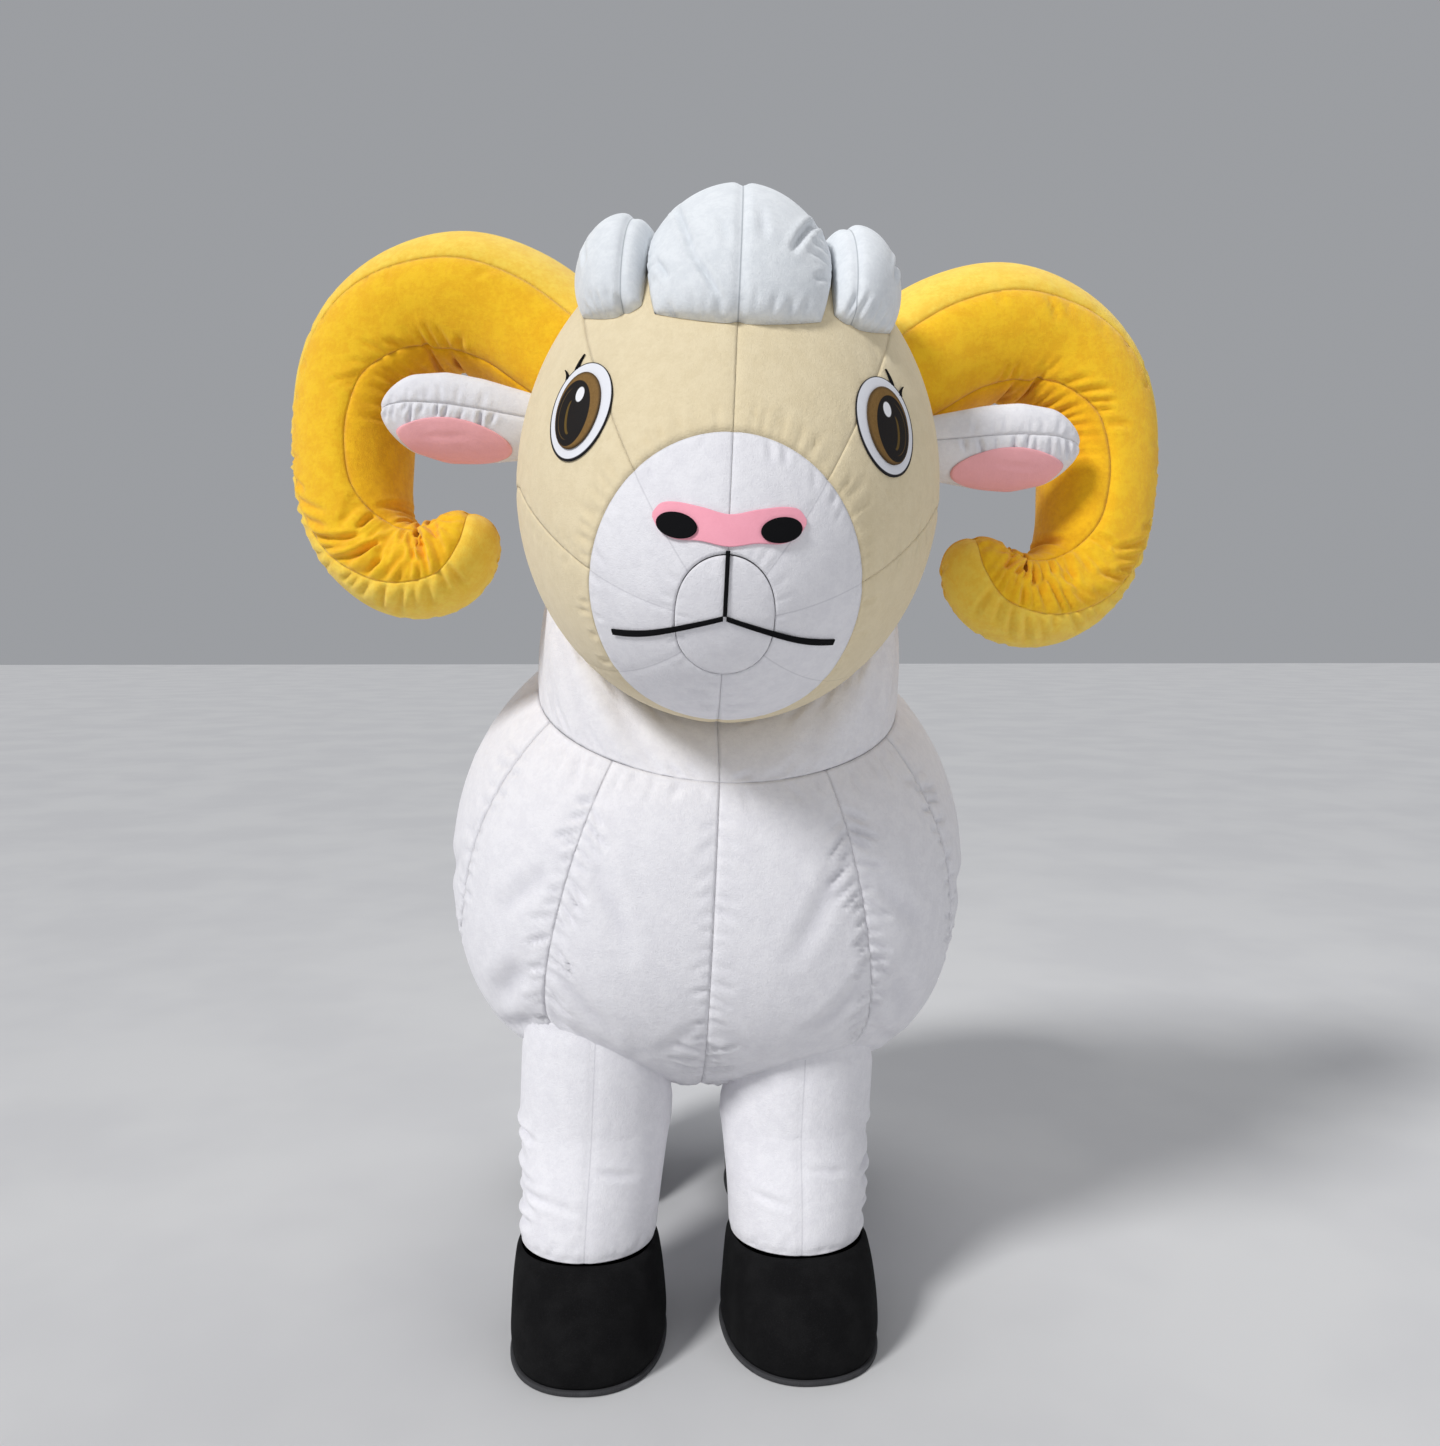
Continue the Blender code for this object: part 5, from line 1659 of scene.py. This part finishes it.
@dataclass
class Ear:
    """A flat leaf that stands out at the side: a gathered front, a rear and a pink lining."""

    side: str
    sign: float
    root_gap: float
    head: Head
    root: Array = field(default_factory=lambda: np.array([0.290, -0.055, 1.560]))
    tip: Array = field(default_factory=lambda: np.array([0.586, -0.050, 1.576]))
    turn: float = 26.0
    exit_share: float = 0.50
    round_from: float = 0.80
    pink_along: tuple[float, float] = (0.575, 0.325)
    pink_around: tuple[float, float] = (-29.0, 41.0)
    pink_lift: float = 0.0012
    blur: int = 12
    shape: tuple[tuple[float, ...], ...] = (
        (0.00, 0.046, 0.034),
        (0.20, 0.058, 0.040),
        (0.42, 0.071, 0.042),
        (0.62, 0.076, 0.040),
        (0.80, 0.067, 0.034),
        (0.93, 0.055, 0.028),
        (1.00, 0.050, 0.025),
    )
    rows: int = 90
    lining_grid: tuple[int, int] = (36, 36)
    panels: tuple[tuple[str, float, float, int], ...] = (
        ("front", -92.0, 28.0, 36),
        ("rear", 28.0, 268.0, 44),
    )

    def __post_init__(self) -> None:
        """Smooths the outline's table and works out the ear's directions."""
        share, high, thick = (np.array([row[k] for row in self.shape]) for k in range(3))
        self.even = np.linspace(0.0, 1.0, 201)
        end = np.clip((self.even - self.round_from) / (1.0 - self.round_from), 0.0, 1.0)
        round_end = np.sqrt(np.maximum(1.0 - end**2, 0.0006))
        self.high = self._softened(np.interp(self.even, share, high)) * round_end
        self.thick = self._softened(np.interp(self.even, share, thick)) * round_end
        self.mirror = np.array([self.sign, 1.0, 1.0])
        self.middle = self.mirror * (self.root + self.tip) / 2.0

    def _softened(self, values: Array) -> Array:
        """Returns the values smoothed, with their ends carried on."""
        weights = bell(np.arange(-self.blur, self.blur + 1), self.blur / 2.0)
        before, after = np.full(self.blur, values[0]), np.full(self.blur, values[-1])
        return np.convolve(np.concatenate([before, values, after]), weights / weights.sum(), mode="valid")

    def point(self, along: Array, turn: Array) -> Array:
        """Returns points by the share of the length and the turn from the middle of the face."""
        t = math.radians(self.turn)
        top = np.array([0.0, -math.sin(t), math.cos(t)])
        face = np.array([0.0, -math.cos(t), -math.sin(t)])
        centre = self.root + (self.tip - self.root) * along[..., None]
        a = np.radians(turn)[..., None]
        high = np.interp(along, self.even, self.high)[..., None]
        thick = np.interp(along, self.even, self.thick)[..., None]
        return self.mirror * (centre + high * np.sin(a) * top + thick * np.cos(a) * face)

    def build(self) -> list[Piece]:
        """Makes the front, the rear and the lining."""
        made = []
        for label, start, end, cols in self.panels:

            def leaf(down: Array, across: Array, start: float = start, end: float = end) -> Array:
                """Gives points of one panel."""
                turn = start + (end - start) * across
                root = leaves_head(self.head, self.point, turn[:1], self.exit_share, self.root_gap)
                return self.point(root + (1.0 - root) * (1.0 - (1.0 - down) ** 1.5), turn)

            front = label == "front"
            panel = Panel(
                f"ear_{self.side}_{label}", Cloths.WHITE, leaf, self.rows, cols, self.middle,
                dress=self.dress_front if front else self.dress_rear,
                hold=Hold.GATHERED if front else Hold.TAUT,
            )
            made.append(panel.build(Seed.EAR + 2 * front + (self.side == "left")))
        made.append(self.lining())
        return made

    def lining(self) -> Piece:
        """Makes the pink lining."""

        def lining(down: Array, across: Array) -> Array:
            """Gives points of the lining."""
            x, y = to_disc(down, across)
            (along, half_long), (turn, half_turn) = self.pink_along, self.pink_around
            return self.point(along + half_long * x, turn + half_turn * y)

        panel = Panel(
            f"ear_{self.side}_lining", Cloths.EAR_PINK, lining, *self.lining_grid, self.middle,
            dress=self.dress_lining, lift=self.pink_lift, wall=APPLIQUE_WALL,
        )
        return panel.build(Seed.LINING + (self.side == "left"))

    def dress_front(self, relief: Relief) -> None:
        """Gathers the front along its top seam."""
        relief.seam((Edge.RIGHT,), 0.0024, 0.005).seam((Edge.LEFT,), 0.0016, 0.005)
        relief.puckers(Edge.RIGHT, (0.12, 0.88), 10, 0.022, 0.1, 0.0036, 0.0052)

    def dress_rear(self, relief: Relief) -> None:
        """Draws the rear in at its seams."""
        relief.seam((Edge.LEFT,), 0.0024, 0.005).seam((Edge.RIGHT,), 0.0016, 0.005)
        relief.puckers(Edge.LEFT, (0.15, 0.85), 9, 0.022, 0.1, 0.0045, 0.0020)
        relief.crease((0.35, 0.45), (0.70, 0.60), 0.010, 0.003)

    def dress_lining(self, relief: Relief) -> None:
        """Rounds the lining's rim down to the ear."""
        relief.seam(tuple(Edge), 0.0010, 0.004)
        relief.crease((0.25, 0.35), (0.35, 0.75), 0.006, 0.0010)


@dataclass(frozen=True)
class Lobe:
    """One lobe of the tuft, and how its cloth is worked."""

    name: str
    corners: Rows
    height: float
    lift: float
    seam_at: float
    creases: Rows
    puckers: tuple[tuple[Edge, float, float, int, float, float, float], ...]
    dome: float = 0.0
    lean: float = 0.0
    bow: float = 0.0

    def dress(self, relief: Relief) -> None:
        """Stitches the seam down the lobe, and adds its darts and its puckers."""
        middle = relief.across_from - self.seam_at * relief.across_from[:, -1:]
        relief.stitched([middle], 0.0055, 0.008).creases(*self.creases)
        for edge, start, end, count, length, width, depth in self.puckers:
            relief.puckers(edge, (start, end), count, length, 0.1, width, depth)


@dataclass
class Tuft:
    """The wool tuft: lobes on the crown, each on a rounded quad of a plane over the crown.

    In that plane a direction of the head lies at the tangent of half its angle from straight up, with x to
    the right and y to the back. A lobe is given by its front left, front right, rear right and rear left
    corner, by how high it stands and how high its rim lies over the head, by how far its rear corners are
    rounded down, by how much higher its right side stands than its middle, and by how far the middle of its
    front edge stands out.
    """

    head: Head
    fullness: float = 0.45
    square: float = 0.60
    cells: int = 68
    lobes: tuple[Lobe, ...] = (
        Lobe(
            "middle",
            ((-0.232, -0.505), (0.232, -0.505), (0.138, 0.045), (-0.138, 0.045)),
            height=0.070, lift=0.0012, dome=0.60, bow=0.056, seam_at=0.5,
            creases=(
                (0.42, 0.16, 0.82, 0.28, 0.0050, 0.0095),
                (0.82, 0.28, 0.96, 0.40, 0.0050, 0.0085),
                (0.76, 0.07, 0.87, 0.13, 0.0050, 0.0085),
                (0.40, 0.90, 0.76, 0.74, 0.0055, 0.0105),
                (0.46, 0.97, 0.50, 0.90, 0.0045, 0.0040),
                (0.54, 0.98, 0.58, 0.86, 0.0045, 0.0048),
                (0.61, 0.98, 0.66, 0.84, 0.0045, 0.0048),
                (0.69, 0.98, 0.73, 0.82, 0.0045, 0.0042),
                (0.78, 0.96, 0.84, 0.88, 0.0050, 0.0045),
                (0.60, 0.58, 0.74, 0.60, 0.0070, 0.0030),
                (0.66, 0.40, 0.78, 0.44, 0.0070, 0.0030),
            ),
            puckers=(
                (Edge.BOTTOM, 0.08, 0.92, 9, 0.032, 0.0055, 0.0040),
                (Edge.LEFT, 0.45, 0.90, 5, 0.026, 0.0050, 0.0034),
            ),
        ),
        Lobe(
            "left",
            ((-0.400, -0.312), (-0.222, -0.465), (-0.146, -0.005), (-0.335, 0.045)),
            height=0.068, lift=0.0009, lean=0.3, bow=0.028, seam_at=0.76,
            creases=((0.50, 0.38, 0.74, 0.40, 0.0060, 0.0040),),
            puckers=((Edge.BOTTOM, 0.1, 0.9, 6, 0.026, 0.0055, 0.0036),),
        ),
        Lobe(
            "right",
            ((0.222, -0.465), (0.400, -0.312), (0.335, 0.045), (0.146, -0.005)),
            height=0.068, lift=0.0009, lean=-0.3, bow=0.028, seam_at=0.24,
            creases=((0.34, 0.70, 0.74, 0.62, 0.0060, 0.0060),),
            puckers=((Edge.BOTTOM, 0.1, 0.9, 6, 0.026, 0.0055, 0.0036),),
        ),
        Lobe(
            "rear",
            ((-0.245, 0.062), (0.245, 0.062), (0.225, 0.505), (-0.225, 0.505)),
            height=0.068, lift=0.0014, seam_at=0.5,
            creases=(
                (0.14, 0.28, 0.52, 0.25, 0.0065, 0.0070),
                (0.16, 0.74, 0.50, 0.77, 0.0065, 0.0070),
                (0.62, 0.22, 0.82, 0.33, 0.0060, 0.0045),
                (0.60, 0.80, 0.78, 0.68, 0.0060, 0.0045),
            ),
            puckers=((Edge.BOTTOM, 0.08, 0.92, 10, 0.036, 0.0055, 0.0040),),
        ),
    )

    def build(self) -> list[Piece]:
        """Makes the lobes."""
        made = []
        for number, lobe in enumerate(self.lobes):
            surface, centre = self.surface(lobe), self.head.centre
            panel = Panel(
                f"tuft_{lobe.name}", Cloths.TUFT, surface, self.cells, self.cells, centre, dress=lobe.dress
            )
            made.append(panel.build(Seed.TUFT + number))
        return made

    def surface(self, lobe: Lobe) -> Surface:
        """Returns the surface of one lobe, its rear edge first."""
        corners = np.array(lobe.corners)

        def points(down: Array, across: Array) -> Array:
            """Gives points of the lobe."""
            x, y = to_disc(down, across)
            full = np.maximum(1.0 - x * x - y * y, 0.0) ** self.fullness
            full = full * (1.0 - lobe.dome * x * x * (0.5 + 0.5 * y)) * (1.0 + lobe.lean * x)
            right = 0.5 + 0.5 * (x + self.square * (2.0 * across - 1.0 - x))[..., None]
            front = 0.5 - 0.5 * (y + self.square * (1.0 - 2.0 * down - y))[..., None]
            fore = corners[0] * (1.0 - right) + corners[1] * right
            rear = corners[3] * (1.0 - right) + corners[2] * right
            spot = rear + (fore - rear) * front
            spot = spot - lobe.bow * front * (1.0 - (2.0 * right - 1.0) ** 2) * np.array([0.0, 1.0])
            far = np.sum(spot * spot, axis=-1)
            way = np.stack([2.0 * spot[..., 0], 2.0 * spot[..., 1], 1.0 - far], axis=-1)
            return self.head.point(way, lobe.lift + lobe.height * full)

        return points


@dataclass
class Face:
    """Nose, nostrils, mouth, eyes and lashes, sewn on the head."""

    head: Head
    nostril_at: tuple[float, float] = (9.4, -11.9)
    nostril_half: tuple[float, float] = (0.0285, 0.0165)
    nostril_tilt: float = 8.0
    philtrum_half: float = 0.0026
    eye_at: tuple[float, float] = (38.2, 11.8)
    eye_tilt: float = 6.0
    eye_half: tuple[float, float] = (0.066, 0.075)
    iris_half: tuple[float, float] = (0.047, 0.058)
    nose_shape: tuple[tuple[float, ...], ...] = (
        (-14.2, -10.7, -9.9),
        (-12.6, -12.9, -8.2),
        (-9.6, -14.2, -7.9),
        (-5.0, -14.3, -8.6),
        (0.0, -15.0, -9.6),
        (5.0, -14.3, -8.6),
        (9.6, -14.2, -7.9),
        (12.6, -12.9, -8.2),
        (14.2, -10.7, -9.9),
    )
    philtrum_shape: tuple[tuple[float, ...], ...] = ((0.0, -15.6), (0.0, -21.2), (0.0, -26.8))
    mouth_shape: tuple[tuple[float, ...], ...] = (
        (0.30, -27.2, 0.0028),
        (6.0, -28.9, 0.0031),
        (15.0, -31.6, 0.0038),
        (21.0, -32.9, 0.0042),
        (26.3, -33.7, 0.0040),
    )
    lash_half: float = 0.0044
    lash_taper: float = 0.70
    lash_curl: float = 1.8
    lashes: tuple[tuple[float, float, float, float], ...] = (
        (0.42, 0.90, 0.30, 1.24),
        (0.68, 0.72, 0.90, 0.98),
    )

    def patch(
        self,
        name: str,
        finish: Finish,
        surface: Surface,
        grid: tuple[int, int],
        layers: int = 0,
        printed: float = 0.0,
        stands_for: bool = True,
    ) -> Piece:
        """Makes a thin piece sewn on the face.

        Args:
            name: The node that it stands for, or its own name.
            finish: Its finish.
            surface: Its surface.
            grid: Its rows and columns.
            layers: How many layers lie under it.
            printed: -1 or 1 where its finish is a print, by the side.
            stands_for: Whether it stands for a node.

        Returns:
            The object.
        """
        lift = (layers + 1) * APPLIQUE_LIFT + layers * APPLIQUE_WALL
        panel = Panel(
            name, finish, surface, *grid, self.head.centre, cloth="cloth", stands_for=stands_for,
            lift=lift, wall=APPLIQUE_WALL, printed=printed,
        )
        return panel.build(Seed.FACE)

    def frame_at(self, across: float, up: float) -> tuple[Array, Array, Array, float]:
        """Returns a direction, the two level and upright directions beside it, and the head's reach."""
        middle = turned(across, up)
        side = unit(np.cross(UP, -middle))
        return middle, side, np.cross(middle, side) * -1.0, float(self.head.reach(middle))

    def oval(self, across: float, up: float, half: tuple[float, float], tilt: float) -> Surface:
        """Returns the surface of an oval on the head, in metres around a direction."""
        middle, side, top, reach = self.frame_at(across, up)
        c, s = math.cos(math.radians(tilt)), math.sin(math.radians(tilt))

        def oval(down: Array, share: Array) -> Array:
            """Gives points of the oval."""
            x, y = to_disc(down, share)
            x, y = half[0] * x, half[1] * y
            x, y = (x * c - y * s)[..., None], (x * s + y * c)[..., None]
            return self.head.point(middle + (x * side + y * top) / reach)

        return oval

    def build(self) -> list[Piece]:
        """Makes the pieces of the face."""

        def nose(down: Array, across: Array) -> Array:
            """Gives points of the nose."""
            low, high = column(self.nose_shape, 1, across), column(self.nose_shape, 2, across)
            return self.head.point(turned(column(self.nose_shape, 0, across), high + (low - high) * down))

        def philtrum(down: Array, across: Array) -> Array:
            """Gives points of the line under the nose."""
            half = math.degrees(self.philtrum_half / self.head.front)
            return self.head.point(turned((2.0 * across - 1.0) * half, column(self.philtrum_shape, 1, down)))

        made = [
            self.patch("nose", Cloths.NOSE, nose, (24, 96)),
            self.patch("philtrum", Cloths.BLACK, philtrum, (40, 3)),
        ]
        for side, sign in SIDES:
            at, up = self.nostril_at
            nostril = self.oval(sign * at, up, self.nostril_half, -sign * self.nostril_tilt)
            made.append(self.patch(f"nostril_{side}", Cloths.BLACK, nostril, (20, 20), layers=1))

            def mouth(down: Array, across: Array, sign: float = sign) -> Array:
                """Gives points of one half of the mouth line."""
                half = np.degrees(column(self.mouth_shape, 2, down) / self.head.front)
                up = column(self.mouth_shape, 1, down) + (1.0 - 2.0 * across) * half
                return self.head.point(turned(sign * column(self.mouth_shape, 0, down), up))

            made.append(self.patch(f"mouth_{side}", Cloths.BLACK, mouth, (70, 4)))
            made += self.eye(side, sign)
        return made

    def eye(self, side: str, sign: float) -> list[Piece]:
        """Makes an eye's white, its iris and its lashes."""
        at, up = self.eye_at
        white = self.oval(sign * at, up, self.eye_half, sign * self.eye_tilt)
        iris = self.oval(sign * at, up, self.iris_half, sign * self.eye_tilt)
        made = [
            self.patch(f"eye_{side}_white", Cloths.EYE, white, (40, 40), printed=sign),
            self.patch(f"eye_{side}_iris", Cloths.IRIS, iris, (36, 36), layers=1, printed=sign),
        ]
        for number, place in enumerate(self.lashes):
            name, lash = f"lash_{side}_{number + 1}", self.lash(sign, place)
            made.append(self.patch(name, Cloths.BLACK, lash, (14, 4), stands_for=False))
        return made

    def lash(self, sign: float, place: tuple[float, float, float, float]) -> Surface:
        """Returns the surface of a curved lash.

        Args:
            sign: -1 for the left eye, 1 for the right.
            place: Where it starts and ends, outwards and up, in half sizes of the eye from its middle.

        Returns:
            The surface.
        """
        at, up = self.eye_at
        middle, side, top, reach = self.frame_at(sign * at, up)
        x0, y0, x1, y1 = place

        def lash(down: Array, across: Array) -> Array:
            """Gives points of the lash."""
            thin = self.lash_half * (1.0 - self.lash_taper * down) * (2.0 * across - 1.0)
            x = -sign * self.eye_half[0] * (x0 + (x1 - x0) * down**self.lash_curl) + thin
            y = self.eye_half[1] * (y0 + (y1 - y0) * down)
            return self.head.point(middle + (x[..., None] * side + y[..., None] * top) / reach)

        return lash


@dataclass
class Studio:
    """The floor, the lights and the camera."""

    focal_px: float = 1300.0
    frame_px: float = 1446.0
    place: tuple[float, float, float] = (-0.026, -2.2605, 1.27)
    pitch: float = 4.84
    yaw: float = 2.0
    sensor: float = 36.0
    floor_half: float = 30.0
    floor_gap: float = 0.0005
    floor_colours: tuple[Colour, Colour] = ((0.60, 0.60, 0.61), (0.64, 0.64, 0.645))
    room_colour: tuple[float, float, float, float] = (0.72, 0.74, 0.78, 1.0)
    room_strength: float = 0.46
    aim: tuple[float, float, float] = (0.0, 0.0, 1.0)
    lights: tuple[tuple[str, str, tuple[float, float, float], float, float], ...] = (
        ("key", "SUN", (-2.6, -2.3, 3.9), 0.22, 2.3),
        ("fill", "AREA", (2.8, -2.6, 1.8), 2.4, 14.0),
        ("top", "AREA", (0.4, 0.9, 4.2), 2.2, 26.0),
    )

    def build(self) -> None:
        """Makes the studio."""
        self.camera()
        self.floor()
        self.room()
        for light in self.lights:
            self.light(*light)
        bpy.context.scene.view_settings.view_transform = "Standard"

    def camera(self) -> None:
        """Places the camera at the photograph's viewing angle."""
        data = bpy.data.cameras.new("camera")
        data.sensor_fit = "AUTO"
        data.sensor_width = self.sensor
        data.lens = self.sensor * self.focal_px / self.frame_px
        made = put("camera", data)
        made.location = (self.place[0] + STANCE.shift_x, self.place[1] + STANCE.shift_y, self.place[2])
        made.rotation_euler = (math.radians(90.0 - self.pitch), 0.0, math.radians(-self.yaw))
        bpy.context.scene.camera = made

    def floor(self) -> None:
        """Makes the pale floor."""
        mesh, far = bpy.data.meshes.new("floor"), self.floor_half
        corners = [(-far, -far, 0.0), (far, -far, 0.0), (far, far, 0.0), (-far, far, 0.0)]
        mesh.from_pydata(corners, [], [(0, 1, 2, 3)])
        shader = Shader("floor_paint")
        cloud = shader.noise(1.5, 3.0).step(0.35, 0.65)
        shader.set(Base_Color=shader.mix(cloud, *self.floor_colours), Roughness=0.8)
        mesh.materials.append(shader.material)
        made = put("floor", mesh)
        made.location = (0.0, 0.0, -self.floor_gap)

    def room(self) -> None:
        """Makes the pale light of the room."""
        world = bpy.data.worlds.new("room")
        world.use_nodes = True
        background = world.node_tree.nodes["Background"]
        background.inputs["Color"].default_value = self.room_colour
        background.inputs["Strength"].default_value = self.room_strength
        bpy.context.scene.world = world

    def light(
        self, name: str, kind: str, place: tuple[float, float, float], size: float, power: float
    ) -> None:
        """Hangs a soft light that faces the costume.

        Args:
            name: Its name.
            kind: SUN for a far light over the whole room, AREA for a large disc.
            place: Where it hangs.
            size: The angle of the far light, or the width of the disc.
            power: Its power, in watts, a square metre for the far light.
        """
        data = bpy.data.lights.new(name, kind)
        if kind == "SUN":
            data.angle = size
        else:
            data.shape = "DISK"
            data.size = size
        data.energy = power
        made = put(name, data)
        made.location = place
        made.rotation_euler = (Vector(self.aim) - Vector(place)).to_track_quat("-Z", "Y").to_euler()


def main() -> None:
    """Builds the costume, piece by piece, and the studio round it."""
    logging.basicConfig(level=logging.INFO, format="%(name)s: %(message)s")
    torso, head = Torso(), Head()
    torso.legs = [
        Leg("front_left", -0.188, 0.042, 3.0, 0.014, torso),
        Leg("front_right", 0.174, 0.056, 8.0, 0.000, torso),
        Leg("rear_left", -0.212, 0.640, 2.0, 0.000, torso),
        Leg("rear_right", 0.212, 0.640, 2.0, 0.000, torso),
    ]
    made = torso.build() + Neck(torso, head).build() + head.build()
    for leg in torso.legs:
        made += leg.build()
    made += Horn("left", -1.0, 0.006, 0.0010, head).build()
    made += Horn("right", 1.0, -0.012, 0.0022, head).build()
    made += Ear("left", -1.0, -0.0012, head).build()
    made += Ear("right", 1.0, -0.0024, head).build()
    made += Tuft(head).build() + Face(head).build()
    Studio().build()
    log.info("%d pieces", len(made))


if __name__ == "__main__":
    main()
